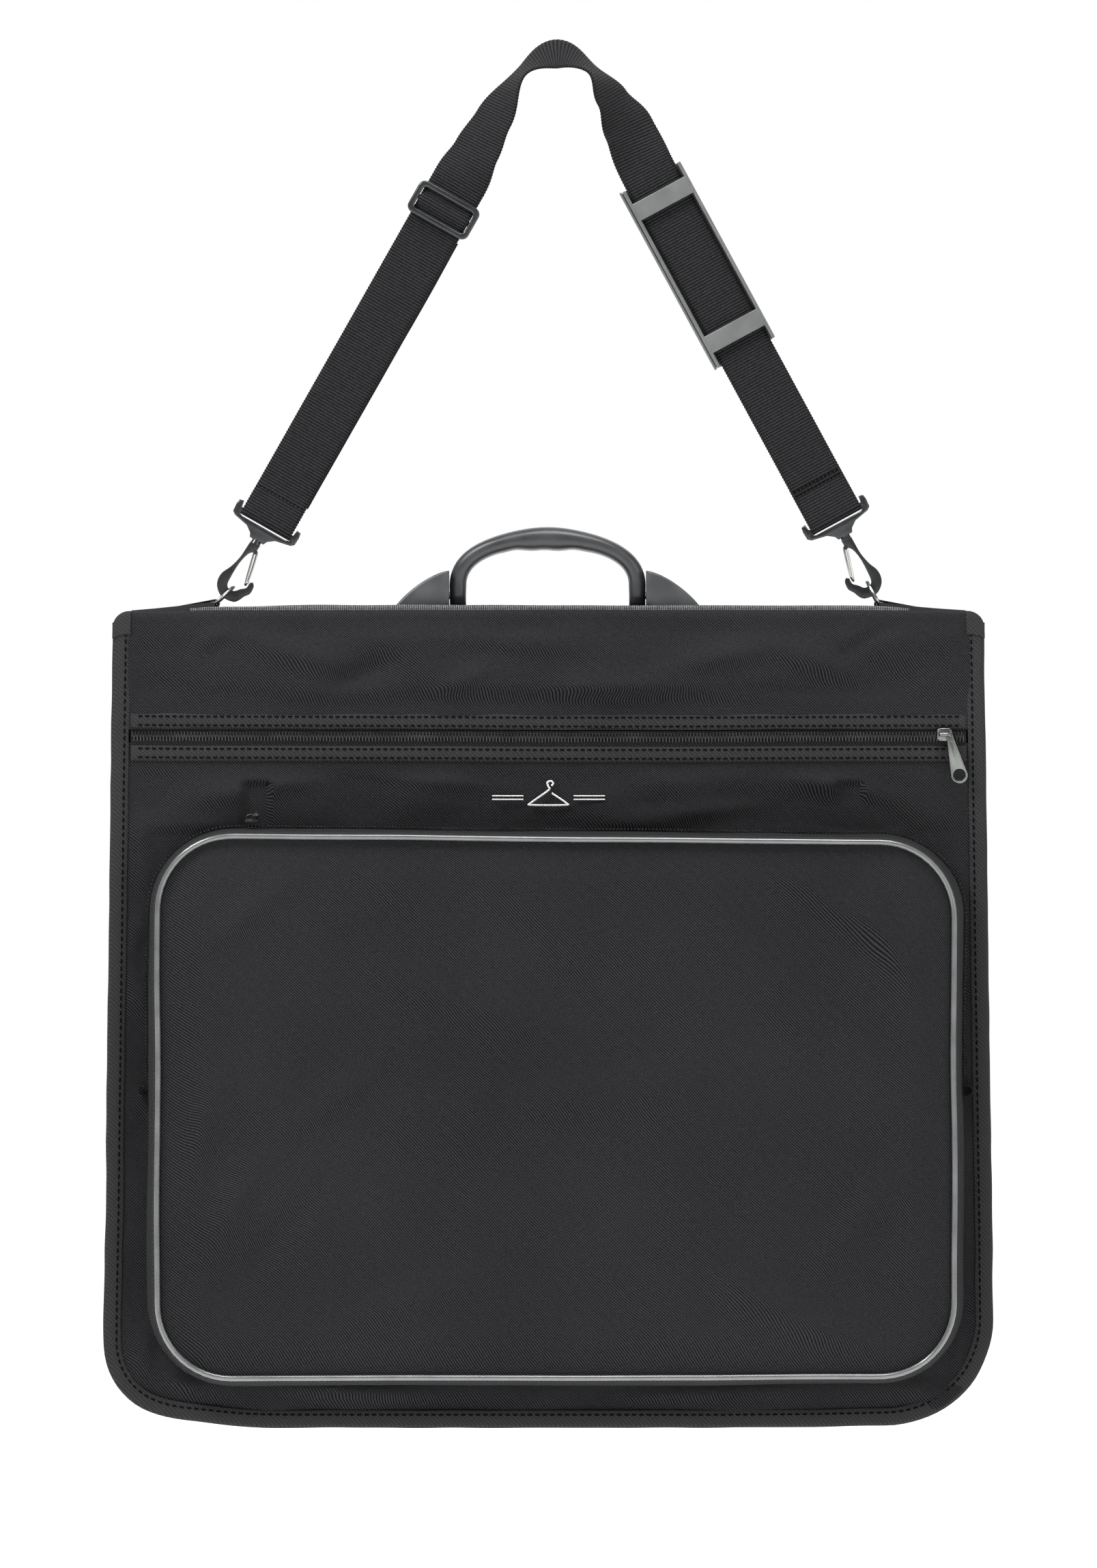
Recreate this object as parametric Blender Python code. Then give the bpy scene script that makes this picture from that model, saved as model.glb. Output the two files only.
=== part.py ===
"""A bifold garment bag hanging by its shoulder strap: fold on top, front towards -Y, metres, +Z up.

The origin is the middle of the strap's top, where it hangs. The bag turns on the strap's two hooks,
each half unfolds about the top fold, the handle tips over, and the zip sliders, webbing slider,
shoulder pad and hook gates all move.
"""

import math

import bmesh
import bpy
from mathutils import Matrix, Vector

# The bag's own box
BAG_X = -0.0053  # its middle hangs a little to the left of the peg
FOLD_Z = -0.3771  # top edge of the front fabric
BOTTOM_Z = -0.9273
TOP_HALF_WIDTH = 0.2935
BOTTOM_HALF_WIDTH = 0.300
CORNER_RADIUS = 0.062
FOLD_Y = 0.027  # half of the folded bag's depth, without the pocket
LINING_Y = 0.007  # half of the space between the two linings
FABRIC = 0.0015
GAP = 0.0004
LINING_TOP_Z = -0.405
BINDING_TOP_Z = -0.385
EMBLEM_Z = -0.5012

# Binding tape round the sides and bottom of each half
TAPE_WIDTH = 0.012
TAPE = 0.0008

# Front zip
ZIP_Z = -0.4611
COIL_WIDTH = 0.0080
ZIP_HALF_LENGTH = 0.2815
BAND_WIDTH = 0.0102
SLIDER_X = 0.2615

# Front pocket
POCKET_X = BAG_X + 0.0048
POCKET_HALF_WIDTH = 0.2672
POCKET_TOP_Z = -0.5303
POCKET_BOTTOM_Z = -0.8913
POCKET_RADIUS = 0.050
POCKET_Y = 0.065
POCKET_FLARE = 0.009
POCKET_ZIP_END_Z = -0.692
POCKET_SLIDER_X = -0.205
PIPING_RADIUS = 0.0018

# Handle on the fold
HANDLE_X = -0.0059
HANDLE_HALF_SPAN = 0.0606
HANDLE_PIVOT_Z = -0.3660
HANDLE_SHOULDER_Z = -0.3600
HANDLE_TOP_Z = -0.3279
HANDLE_ARCH = 0.87  # below 1, the arch has squarer shoulders than an ellipse
LEG_FOOT = ((-0.3728, 0.0010), (-0.3718, 0.0038), (-0.3700, 0.0057), (-0.3660, 0.0070))
PIN_RADIUS = 0.0025
QUARTER = [math.radians(15 * step) for step in range(7)]
FULL_TURN = [math.radians(30 * step) for step in range(12)]

# Shoulder strap
STRAP_WIDTH = 0.038
STRAP = 0.0014
STRAP_ROUTE = (
    (-0.1955, -0.3164), (-0.1368, -0.2127), (-0.0762, -0.1057), (-0.0634, -0.0831), (-0.0528, -0.0632),
    (-0.0429, -0.0448), (-0.0238, -0.0125), (0.0, 0.0), (0.0228, -0.0095), (0.0372, -0.0290),
    (0.0492, -0.0510), (0.0626, -0.0807), (0.0962, -0.1426), (0.1400, -0.2235), (0.1885, -0.3130),
)
# Degrees that the webbing turns about its own line, at each distance from the top
LEFT_TWIST = ((0.0, 57.0), (0.027, 78.0), (0.064, 48.0), (0.088, 34.0), (0.116, 0.0))
RIGHT_TWIST = ((0.0, 57.0), (0.027, 78.0), (0.050, 55.0), (0.074, 25.0), (0.102, 0.0))
LOOP_BAR_RADIUS = 0.0020

# Webbing slider and shoulder pad, in the strap's own directions
GLIDE_CENTRE = Vector((-0.0762, 0.0, -0.1057))
GLIDE_WIDTH = 0.046
GLIDE_LENGTH = 0.0235
PAD_CENTRE = Vector((0.0962, 0.0, -0.1426))
PAD_LENGTH = 0.135
PAD_WIDTH = 0.0434

# The two ends of the strap: how far each hook leans and where its ring points
ENDS = {
    "left": {"side": -1, "lean": 26.0, "ring": (-0.743, -0.669)},
    "right": {"side": 1, "lean": 22.0, "ring": (0.47, -0.88)},
}
# The hook's middle line: across towards the gate, down from the collar, and its radius there
HOOK_LINE = (
    (0.0, 0.0042, 0.0025), (-0.0018, 0.0085, 0.0020), (-0.0042, 0.0150, 0.0018), (-0.0062, 0.0220, 0.0020),
    (-0.0084, 0.0300, 0.0030), (-0.0078, 0.0375, 0.0036), (-0.0026, 0.0425, 0.0037),
    (0.0034, 0.0415, 0.0037),
    (0.0082, 0.0365, 0.0030), (0.0100, 0.0310, 0.0018),
)
COLLAR_DROP = 0.0125
STUD_RADIUS = 0.0013
GATE_PIVOT = (0.0028, 0.0, 0.0096)
GATE_WIRE = 0.0007
RING_BAR = (-0.0026, 0.0425)  # the part of the hook that the ring hangs on
RING_REACH = 0.0053  # from the middle of the hook's bar to the ring's wire
RING_LENGTH = 0.0170
RING_HALF_BAR = 0.0125
RING_WIRE = 0.0012
TAB_WIDTH = 0.022
TAB = 0.0012
TAB_Z = -0.3768


def clear_scene():
    for item in list(bpy.data.objects):
        bpy.data.objects.remove(item, do_unlink=True)


def surface(name, colour, roughness, metallic=0.0):
    made = bpy.data.materials.new(name)
    made.use_nodes = True
    shader = made.node_tree.nodes["Principled BSDF"]
    shader.inputs["Base Color"].default_value = (*colour, 1.0)
    shader.inputs["Roughness"].default_value = roughness
    shader.inputs["Metallic"].default_value = metallic
    return made


def add_object(name, data, material, pivot=None):
    """Puts a mesh or curve, given in world positions, into the scene with its origin on its joint."""
    made = bpy.data.objects.new(name, data)
    bpy.context.scene.collection.objects.link(made)
    data.materials.append(material)
    if pivot is not None:
        data.transform(Matrix.Translation(-Vector(pivot)))
        made.location = pivot
    return made


def mesh_from(bm, name, smooth=False):
    bmesh.ops.recalc_face_normals(bm, faces=bm.faces)
    mesh = bpy.data.meshes.new(name)
    bm.to_mesh(mesh)
    bm.free()
    if smooth:
        mesh.shade_smooth()
        mesh.set_sharp_from_angle(angle=math.radians(40))
    return mesh


def block(name, low, high, material, bevel=0.0, pivot=None):
    """A box between two corners, with its edges rounded by the bevel."""
    low, high = Vector(low), Vector(high)
    bm = bmesh.new()
    bmesh.ops.create_cube(bm, size=1.0)
    bmesh.ops.scale(bm, vec=high - low, verts=bm.verts)
    bmesh.ops.translate(bm, vec=(low + high) / 2, verts=bm.verts)
    if bevel:
        bmesh.ops.bevel(bm, geom=bm.edges[:], offset=bevel, segments=1, profile=0.5, affect="EDGES")
    return add_object(name, mesh_from(bm, name), material, pivot)


def plate(name, outline, near_y, far_y, material, place=None, pivot=None):
    """A flat outline of (x, z) points given thickness along Y, then moved by the placing matrix."""
    bm = bmesh.new()
    face = bm.faces.new([bm.verts.new((x, near_y, z)) for x, z in outline])
    made = bmesh.ops.extrude_face_region(bm, geom=[face])
    lifted = [item for item in made["geom"] if isinstance(item, bmesh.types.BMVert)]
    bmesh.ops.translate(bm, vec=(0, far_y - near_y, 0), verts=lifted)
    if place is not None:
        bmesh.ops.transform(bm, matrix=place, verts=bm.verts)
    return add_object(name, mesh_from(bm, name), material, pivot)


def sweep(name, rings, material, closed=False, smooth=False, pivot=None):
    """A body through rings of points, each ring joined to the next one."""
    bm = bmesh.new()
    rows = [[bm.verts.new(point) for point in ring] for ring in rings]
    around = len(rows[0])
    last = len(rows) if closed else len(rows) - 1
    for index in range(last):
        this, after = rows[index], rows[(index + 1) % len(rows)]
        for step in range(around):
            beside = (step + 1) % around
            bm.faces.new((this[step], this[beside], after[beside], after[step]))
    if not closed:
        bm.faces.new(rows[0])
        bm.faces.new(rows[-1])
    return add_object(name, mesh_from(bm, name, smooth), material, pivot)


def rod(name, points, radius, material, closed=False, sides=2, pivot=None, radii=None, order=0):
    """A round bar along points; with an order it runs smoothly through a NURBS curve instead."""
    curve = bpy.data.curves.new(name, "CURVE")
    curve.dimensions = "3D"
    curve.bevel_depth = radius
    curve.bevel_resolution = sides
    curve.use_fill_caps = not closed
    line = curve.splines.new("NURBS" if order else "POLY")
    line.points.add(len(points) - 1)
    for index, point in enumerate(points):
        line.points[index].co = (*point, 1.0)
        line.points[index].radius = radii[index] if radii else 1.0
    line.use_cyclic_u = closed
    if order:
        line.order_u = order
        line.use_endpoint_u = not closed
        line.resolution_u = 3
    return add_object(name, curve, material, pivot)


def round_tool(name, points, radius, closed=False, sides=2):
    """A round bar as a closed mesh, for joining to a piece or cutting it."""
    bar = rod(name + "_line", points, radius, TOOL, closed, sides)
    mesh = bpy.data.meshes.new_from_object(bar.evaluated_get(bpy.context.evaluated_depsgraph_get()))
    bpy.data.objects.remove(bar, do_unlink=True)
    bm = bmesh.new()
    bm.from_mesh(mesh)
    bmesh.ops.remove_doubles(bm, verts=bm.verts, dist=0.00001)
    return add_object(name, mesh_from(bm, name), TOOL)


def combine(target, tool, operation):
    """Joins the tool to the target or cuts it away, and hides the tool."""
    step = target.modifiers.new(operation.title(), "BOOLEAN")
    step.operation = operation
    step.object = tool
    step.solver = "EXACT"
    tool.hide_render = True
    tool.display_type = "WIRE"


def arc(centre, radius, start, end, count):
    """Points on an arc between two angles in degrees, measured from +X towards +Z."""
    turns = [math.radians(start + (end - start) * step / count) for step in range(count + 1)]
    return [(centre[0] + radius * math.cos(turn), centre[1] + radius * math.sin(turn)) for turn in turns]


def half_width(z):
    """Half the bag's width at a height: it widens slightly towards the bottom."""
    share = (FOLD_Z - z) / (FOLD_Z - BOTTOM_Z)
    return TOP_HALF_WIDTH + (BOTTOM_HALF_WIDTH - TOP_HALF_WIDTH) * share


def edge_line(inset, top_z):
    """The bag's edge from the top left down, along the bottom and up to the top right."""
    radius = CORNER_RADIUS - inset
    corner_z = BOTTOM_Z + CORNER_RADIUS
    reach = BOTTOM_HALF_WIDTH - CORNER_RADIUS
    top = half_width(top_z) - inset
    points = [(BAG_X - top, top_z)]
    points += arc((BAG_X - reach, corner_z), radius, 180, 270, 6)
    points += arc((BAG_X + reach, corner_z), radius, 270, 360, 6)
    return [*points, (BAG_X + top, top_z)]


def cut_outline(inset, top_z, low_z):
    """The bag's outline between two heights, where low_z is above the bottom corners."""
    top, low = half_width(top_z) - inset, half_width(low_z) - inset
    return [(BAG_X - top, top_z), (BAG_X - low, low_z), (BAG_X + low, low_z), (BAG_X + top, top_z)]


def rounded_box(centre_x, half, low_z, high_z, radius, steps=5):
    """A rounded rectangle's outline, turning from the left side down and round."""
    left, right = centre_x - half + radius, centre_x + half - radius
    low, high = low_z + radius, high_z - radius
    points = arc((left, low), radius, 180, 270, steps) + arc((right, low), radius, 270, 360, steps)
    return points + arc((right, high), radius, 0, 90, steps) + arc((left, high), radius, 90, 180, steps)


def pocket_outline(offset):
    """The pocket's outline moved outwards by the offset."""
    low, high = POCKET_BOTTOM_Z - offset, POCKET_TOP_Z + offset
    return rounded_box(POCKET_X, POCKET_HALF_WIDTH + offset, low, high, POCKET_RADIUS + offset)


def smooth_line(points, steps):
    """More points on a smooth curve through the given ones; pairs are (x, z) places."""
    line = [Vector((point[0], 0.0, point[1])) if len(point) == 2 else Vector(point) for point in points]
    full = [line[0] * 2 - line[1], *line, line[-1] * 2 - line[-2]]
    result = []
    for index in range(1, len(full) - 2):
        a, b, c, d = full[index - 1 : index + 3]
        for step in range(steps):
            t = step / steps
            square, cube = 2 * a - 5 * b + 4 * c - d, 3 * b - a - 3 * c + d
            result.append(0.5 * (2 * b + (c - a) * t + square * t**2 + cube * t**3))
    return [*result, line[-1]]


def leg_matrix(origin, up):
    """Places local x across the webbing, y through it and z up along it."""
    up = Vector(up).normalized()
    across = Vector((up.z, 0.0, -up.x))
    return Matrix.Translation(origin) @ Matrix((across, Vector((0, 1, 0)), up)).transposed().to_4x4()


def end_frame(side):
    """A strap end: the middle of its loop bar and the way up its leg."""
    route = [Vector((x, 0.0, z)) for x, z in STRAP_ROUTE]
    bar, beside = (route[0], route[1]) if side < 0 else (route[-1], route[-2])
    return bar, (beside - bar).normalized()


def twist_at(distance, table):
    for (near, low), (far, high) in zip(table, table[1:]):
        if distance <= far:
            share = (distance - near) / (far - near)
            return math.radians(low + (high - low) * share * share * (3 - 2 * share))
    return 0.0


def webbing_rings(stations, width, thickness):
    """Rectangles across a line of (middle, width direction) stations."""
    rings = []
    for index, (middle, across) in enumerate(stations):
        before = stations[max(index - 1, 0)][0]
        after = stations[min(index + 1, len(stations) - 1)][0]
        through = (after - before).normalized().cross(across).normalized() * thickness / 2
        side = across * width / 2
        near, far = middle - through, middle + through
        rings.append([near - side, near + side, far + side, far - side])
    return rings


def turn_back(side):
    """The strap's end from behind the leg, round the loop bar and up in front, as stations."""
    bar, up = end_frame(side)
    across = Vector((up.z, 0.0, -up.x)) * -side
    reach = LOOP_BAR_RADIUS + GAP + STRAP / 2
    path = [(0.030 if side > 0 else 0.020, 0.0022), (0.008, 0.0026)]
    for degrees in range(0, 181, 30):
        turn = math.radians(degrees)
        path.append((-reach * math.sin(turn), reach * math.cos(turn)))
    path += [(0.008, -0.0022), (0.016, -0.0009), (0.026, 0.0)]
    return [(bar + up * along + Vector((0, depth, 0)), across) for along, depth in path]


def strap_stations():
    line = smooth_line(STRAP_ROUTE, 4)
    top = min(range(len(line)), key=lambda index: line[index].length)
    stations = turn_back(-1)
    ends = [end_frame(-1)[0], end_frame(1)[0]]
    for index, point in enumerate(line):
        if min((point - end).length for end in ends) < 0.034:
            continue
        forward = (line[min(index + 1, len(line) - 1)] - line[max(index - 1, 0)]).normalized()
        inner = Vector((forward.z, 0.0, -forward.x))
        steps = range(min(index, top), max(index, top))
        distance = sum((line[step + 1] - line[step]).length for step in steps)
        turn = twist_at(distance, LEFT_TWIST if index < top else RIGHT_TWIST)
        stations.append((point, inner * math.cos(turn) - Vector((0, math.sin(turn), 0))))
    return stations + turn_back(1)[::-1]


def make_strap(webbing):
    sweep("shoulder_strap", webbing_rings(strap_stations(), STRAP_WIDTH, STRAP), webbing)
    bar, up = end_frame(-1)
    place = leg_matrix(bar, up)
    length = (GLIDE_CENTRE - bar).length
    half, low, high = STRAP_WIDTH / 2, 0.0206, length - 0.0150
    run = [(-half, low), (half, low), (half, high), (-half, high)]
    plate("strap_return_run", run, 0.0014, 0.0014 + STRAP, webbing, place)


def local_block(name, low, high, place):
    """A hidden tool body, given in local coordinates."""
    outline = [(low[0], low[2]), (high[0], low[2]), (high[0], high[2]), (low[0], high[2])]
    return plate(name, outline, low[1], high[1], TOOL, place)


def make_glide(plastic, webbing):
    """The webbing slider: outer bars in front of the strap, middle bar behind it."""
    place = leg_matrix(GLIDE_CENTRE, GLIDE_CENTRE - end_frame(-1)[0])
    half, reach = GLIDE_WIDTH / 2, GLIDE_LENGTH / 2
    outline = rounded_box(0.0, half, -reach, reach, 0.005, 3)
    glide = plate("webbing_slider", outline, -0.0034, 0.0056, plastic, place, GLIDE_CENTRE)
    combine(
        glide, local_block("glide_slot", (-0.0195, -0.0012, -0.03), (0.0195, 0.007, 0.03), place),
        "DIFFERENCE",
    )
    combine(
        glide, local_block("glide_window", (-0.0193, -0.006, -0.0082), (0.0193, 0.0, 0.0082), place),
        "DIFFERENCE",
    )
    combine(
        glide, local_block("glide_bar", (-0.0200, 0.0031, -0.0021), (0.0200, 0.0053, 0.0021), place),
        "UNION",
    )
    path = [(-0.0130, 0.0020), (-0.0040, 0.0020), (0.0012, 0.0020), (0.0033, 0.0026), (0.0042, 0.0042)]
    path += [(0.0033, 0.0058), (0.0012, 0.0065), (-0.0040, 0.0065), (-0.0130, 0.0065)]
    across = place.to_3x3() @ Vector((1, 0, 0))
    stations = [(place @ Vector((0, depth, along)), across) for along, depth in path]
    sweep("strap_end_loop", webbing_rings(stations, 0.0376, 0.0012), webbing, pivot=GLIDE_CENTRE)


def make_pad(rubber):
    """The shoulder pad: plate behind the strap, rails beside it and two bands in front."""
    place = leg_matrix(PAD_CENTRE, PAD_CENTRE - end_frame(1)[0])
    half, reach = PAD_WIDTH / 2, PAD_LENGTH / 2
    pad = plate(
        "shoulder_pad", rounded_box(0.0, half, -reach, reach, 0.002, 2), -0.0050, 0.0044, rubber, place,
        PAD_CENTRE,
    )
    slot, window = 0.0198, 0.0196
    cuts = (
        ("pad_slot", (-slot, -0.0013, -0.08), (slot, 0.0013, 0.08)),
        ("pad_window", (-window, -0.007, -0.0449), (window, 0.0, 0.0449)),
        ("pad_top_notch", (-window, -0.007, 0.0569), (window, 0.0, 0.081)),
        ("pad_low_notch", (-window, -0.007, -0.081), (window, 0.0, -0.0569)),
    )
    for name, low, high in cuts:
        combine(pad, local_block(name, low, high, place), "DIFFERENCE")


def hook_matrix(end):
    """Places local x towards the gate's side and z down the hook, from its collar."""
    bar, up = end_frame(end["side"])
    lean = math.radians(end["lean"])
    down = Vector((end["side"] * math.sin(lean), 0.0, -math.cos(lean)))
    gate_way = Vector((down.z, 0.0, -down.x)) * end["side"]
    place = Matrix((gate_way, Vector((0, 1, 0)), down)).transposed().to_4x4()
    return Matrix.Translation(bar - up * COLLAR_DROP) @ place


def make_hook(name, end, plastic, wire):
    """One strap end: the webbing's loop frame, the snap hook on its stud and the wire gate."""
    bar, up = end_frame(end["side"])
    place = leg_matrix(bar, up)
    hook_place = hook_matrix(end)
    collar = hook_place.translation
    outline = [
        (0.0235, 0.0042), (-0.0235, 0.0042), (-0.0235, -0.0062), (-0.0080, -0.0118), (-0.0050, -0.0150)
    ]
    outline += [(0.0050, -0.0150), (0.0080, -0.0118), (0.0235, -0.0062)]
    loop = plate("hook_loop_" + name, outline, -0.0028, 0.0028, plastic, place)
    combine(
        loop, local_block("loop_slot_" + name, (-0.0197, -0.01, -0.0045), (0.0197, 0.01, 0.01), place),
        "DIFFERENCE",
    )
    bar_ends = [place @ Vector((-0.0206, 0, 0)), place @ Vector((0.0206, 0, 0))]
    combine(loop, round_tool("loop_bar_" + name, bar_ends, LOOP_BAR_RADIUS), "UNION")
    stud_hole = [hook_place @ Vector((0, 0, -0.0050)), hook_place @ Vector((0, 0, 0.0060))]
    combine(loop, round_tool("stud_hole_" + name, stud_hole, STUD_RADIUS + GAP), "DIFFERENCE")

    line = smooth_line(HOOK_LINE, 3)
    points = [hook_place @ Vector((across, 0, down)) for across, down, _ in line]
    radii = [point[2] / 0.004 for point in line]
    stud = [hook_place @ Vector((0, 0, -0.0040)), hook_place @ Vector((0, 0, 0.0035))]
    sizes = [STUD_RADIUS / 0.004, STUD_RADIUS / 0.004]
    rod("hook_" + name, stud + points, 0.004, plastic, pivot=collar, radii=sizes + radii)

    gate = [
        (0.0018, 0.0098), (0.0052, 0.0300), (0.0057, 0.0311), (0.0066, 0.0309), (0.0069, 0.0298),
        (0.0038, 0.0094),
    ]
    pivot = hook_place @ Vector(GATE_PIVOT)
    gate_line = [hook_place @ Vector((across, 0, down)) for across, down in gate]
    rod("gate_" + name, gate_line, GATE_WIRE, wire, sides=1, pivot=pivot)


def ring_line(end):
    """The ring's top, on the hook, and its low bar, in the tab."""
    along = Vector((end["ring"][0], 0.0, end["ring"][1])).normalized()
    held = hook_matrix(end) @ Vector((RING_BAR[0], 0, RING_BAR[1]))
    top = held - along * (RING_REACH + RING_WIRE)
    return top, top + along * RING_LENGTH, along


def make_ring(name, end, wire, webbing):
    """The D-ring and the doubled tab of webbing that holds it to the fold."""
    top, low, along = ring_line(end)
    outline = [(-RING_HALF_BAR, 0.0), (RING_HALF_BAR, 0.0)]
    outline += arc((0.0, 0.0), 1.0, 15, 165, 9)
    scaled = outline[:2] + [(x * (RING_HALF_BAR + 0.0012), z * RING_LENGTH) for x, z in outline[2:]]
    rod(
        "ring_" + name, [low + Vector((0, x, 0)) - along * z for x, z in scaled], RING_WIRE, wire,
        closed=True, sides=1
    )

    corner_x = BAG_X + end["side"] * 0.2805
    reach = RING_WIRE + GAP + TAB / 2
    path = [(corner_x, TAB_Z)]
    for degrees in range(0, 181, 30):
        turn = math.radians(degrees)
        path.append((low.x - end["side"] * reach * math.sin(turn), low.z - reach * math.cos(turn)))
    path.append((corner_x, TAB_Z + TAB + GAP))
    stations = [(Vector((x, 0, z)), Vector((0, 1, 0))) for x, z in path]
    sweep("ring_tab_" + name, webbing_rings(stations, TAB_WIDTH, TAB), webbing)


def make_fold(cloth, webbing, plastic, steel):
    """The strip over the top: fabric on a board, ribbed webbing along its edges and the handle's base."""
    block("spine_panel", (BAG_X - 0.2880, -0.0240, -0.3795), (BAG_X + 0.2880, 0.0240, -0.3780), cloth)
    block(
        "spine_board", (BAG_X - 0.2800, -0.0235, -0.3830), (BAG_X + 0.2800, 0.0235, -0.3799), plastic,
        0.0008,
    )
    for name, low, high in (("front", -0.0250, -0.0160), ("back", 0.0160, 0.0250)):
        block("spine_edge_" + name, (-0.2469, low, -0.3776), (0.2377, high, -0.3733), webbing, 0.0010)
    block(
        "handle_base_plate", (HANDLE_X - 0.106, -0.0148, -0.3776), (HANDLE_X + 0.106, 0.0148, -0.3758),
        plastic, 0.0006,
    )
    for number, offset in enumerate((-0.098, -0.074, 0.074, 0.098), 1):
        ends = [(HANDLE_X + offset, 0.0, -0.3834), (HANDLE_X + offset, 0.0, -0.3850)]
        rod("cap_rivet_%d" % number, ends, 0.004, steel)


def make_handle(plastic, steel):
    """The grip on its two pivot pins, and the end caps that carry them."""
    rings = []
    stations = [(-HANDLE_HALF_SPAN, z, depth, 0.0055) for z, depth in LEG_FOOT]
    for step in range(17):
        turn = math.pi * (1 - step / 16)
        lift = math.sin(turn)
        x = math.copysign(HANDLE_HALF_SPAN * abs(math.cos(turn)) ** HANDLE_ARCH, math.cos(turn))
        z = HANDLE_SHOULDER_Z + (HANDLE_TOP_Z - HANDLE_SHOULDER_Z) * lift**HANDLE_ARCH
        stations.append((x, z, 0.007 + 0.005 * lift, 0.0055 + 0.0025 * lift))
    stations += [(HANDLE_HALF_SPAN, z, depth, 0.0055) for z, depth in LEG_FOOT[::-1]]
    for index, (x, z, depth, thick) in enumerate(stations):
        before, after = stations[max(index - 1, 0)], stations[min(index + 1, len(stations) - 1)]
        along = Vector((after[0] - before[0], 0.0, after[1] - before[1])).normalized()
        outwards = Vector((-along.z, 0.0, along.x))
        ring = []
        for corner in range(12):
            turn = 2 * math.pi * corner / 12
            side, front = math.cos(turn), math.sin(turn)
            side, front = math.copysign(abs(side) ** 0.8, side), math.copysign(abs(front) ** 0.8, front)
            ring.append(
                Vector((HANDLE_X + x, 0.0, z)) + outwards * thick * side + Vector((0, depth * front, 0))
            )
        rings.append(ring)
    pivot = (HANDLE_X, 0.0, HANDLE_PIVOT_Z)
    grip = sweep("handle_grip", rings, plastic, smooth=True, pivot=pivot)
    for name, side in (("left", -1), ("right", 1)):
        inner, outer = HANDLE_X + side * 0.0666, HANDLE_X + side * 0.1040
        width, height = abs(outer - inner), 0.0260
        base = -0.3754
        curve = [
            (inner + side * width * math.cos(turn), base + height * math.sin(turn)) for turn in QUARTER
        ]
        cap = plate("handle_cap_" + name, [(inner, base), *curve], -0.0145, 0.0145, plastic)
        hole = [
            (HANDLE_X + side * 0.0560, 0.0, HANDLE_PIVOT_Z),
            (HANDLE_X + side * 0.0770, 0.0, HANDLE_PIVOT_Z),
        ]
        bore = round_tool("pin_bore_" + name, hole, PIN_RADIUS + 0.0003)
        combine(cap, bore, "DIFFERENCE")
        combine(grip, bore, "DIFFERENCE")
        pin = [
            (HANDLE_X + side * 0.0565, 0.0, HANDLE_PIVOT_Z),
            (HANDLE_X + side * 0.0765, 0.0, HANDLE_PIVOT_Z),
        ]
        rod("handle_pin_" + name, pin, PIN_RADIUS, steel)


def make_binding(name, front_y, back_y, tape):
    """U-shaped tape round the sides and bottom of one half."""
    rings = []
    outer, inner = edge_line(0.0, BINDING_TOP_Z), edge_line(TAPE_WIDTH, BINDING_TOP_Z)
    for (x, z), (inner_x, inner_z) in zip(outer, inner):
        edge = Vector((x, 0.0, z))
        inwards = (Vector((inner_x, 0.0, inner_z)) - edge).normalized()
        section = [
            (0.0, front_y), (TAPE_WIDTH, front_y), (TAPE_WIDTH, front_y + TAPE), (TAPE, front_y + TAPE)
        ]
        section += [(TAPE, back_y - TAPE), (TAPE_WIDTH, back_y - TAPE), (TAPE_WIDTH, back_y), (0.0, back_y)]
        rings.append([edge + inwards * reach + Vector((0, depth, 0)) for reach, depth in section])
    sweep(name, rings, tape)


def make_lining(prefix, low_y, high_y, cloth, coil):
    """One half's inner face: two panels with the long zip's coil between them."""
    line = edge_line(TAPE + GAP, LINING_TOP_Z)
    middle = len(line) // 2
    seam = COIL_WIDTH / 2 + GAP
    left = [*line[:middle], (BAG_X - seam, line[middle - 1][1]), (BAG_X - seam, LINING_TOP_Z)]
    right = [(BAG_X + seam, LINING_TOP_Z), (BAG_X + seam, line[middle][1]), *line[middle:]]
    plate(prefix + "_lining_left", left, low_y, high_y, cloth)
    plate(prefix + "_lining_right", right, low_y, high_y, cloth)
    low, high = (BAG_X - COIL_WIDTH / 2, low_y - 0.0007, -0.9120), (
        BAG_X + COIL_WIDTH / 2, high_y + 0.0007, -0.4070
    )
    block(prefix + "_lining_coil", low, high, coil)


def make_slider(name, place, pull_length, pull_width, metal, lean=0.0):
    """A zip slider whose crown bar carries a pull; locally it faces -y and the pull hangs along -z."""
    body = plate(
        name + "_slider", rounded_box(0.0, 0.0051, -0.0044, 0.0044, 0.0015, 2), 0.0, -0.0022, metal, place
    )
    crown = [
        (-0.0034, -0.0016), (-0.0034, -0.0044), (-0.0026, -0.0054), (0.0040, -0.0054), (0.0047, -0.0044),
        (0.0047, -0.0016),
    ]
    points = [place @ Vector((x, y, 0.0)) for x, y in crown]
    combine(body, round_tool(name + "_crown", points, 0.0007, sides=1), "UNION")

    eye = place @ Matrix.Translation((0.0030, -0.0054, 0.0))
    turned = eye @ Matrix.Rotation(lean, 4, "Y")
    half, tip = pull_width / 2, pull_length - pull_width / 2
    outline = [(-0.0022, -0.0022), *arc((0.0, -tip), half, 190, 350, 8), (0.0022, -0.0022)]
    pull = plate(name + "_pull", outline, -0.0008, 0.0008, metal, turned, pivot=eye.translation)
    hole = [turned @ Vector((0, -0.003, -tip)), turned @ Vector((0, 0.003, -tip))]
    combine(pull, round_tool(name + "_pull_hole", hole, half * 0.74, sides=3), "DIFFERENCE")
    loop = [eye @ Vector((0, 0.0020 * math.cos(turn), 0.0020 * math.sin(turn))) for turn in FULL_TURN]
    combine(pull, round_tool(name + "_pull_eye", loop, 0.0006, closed=True, sides=1), "UNION")


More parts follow.
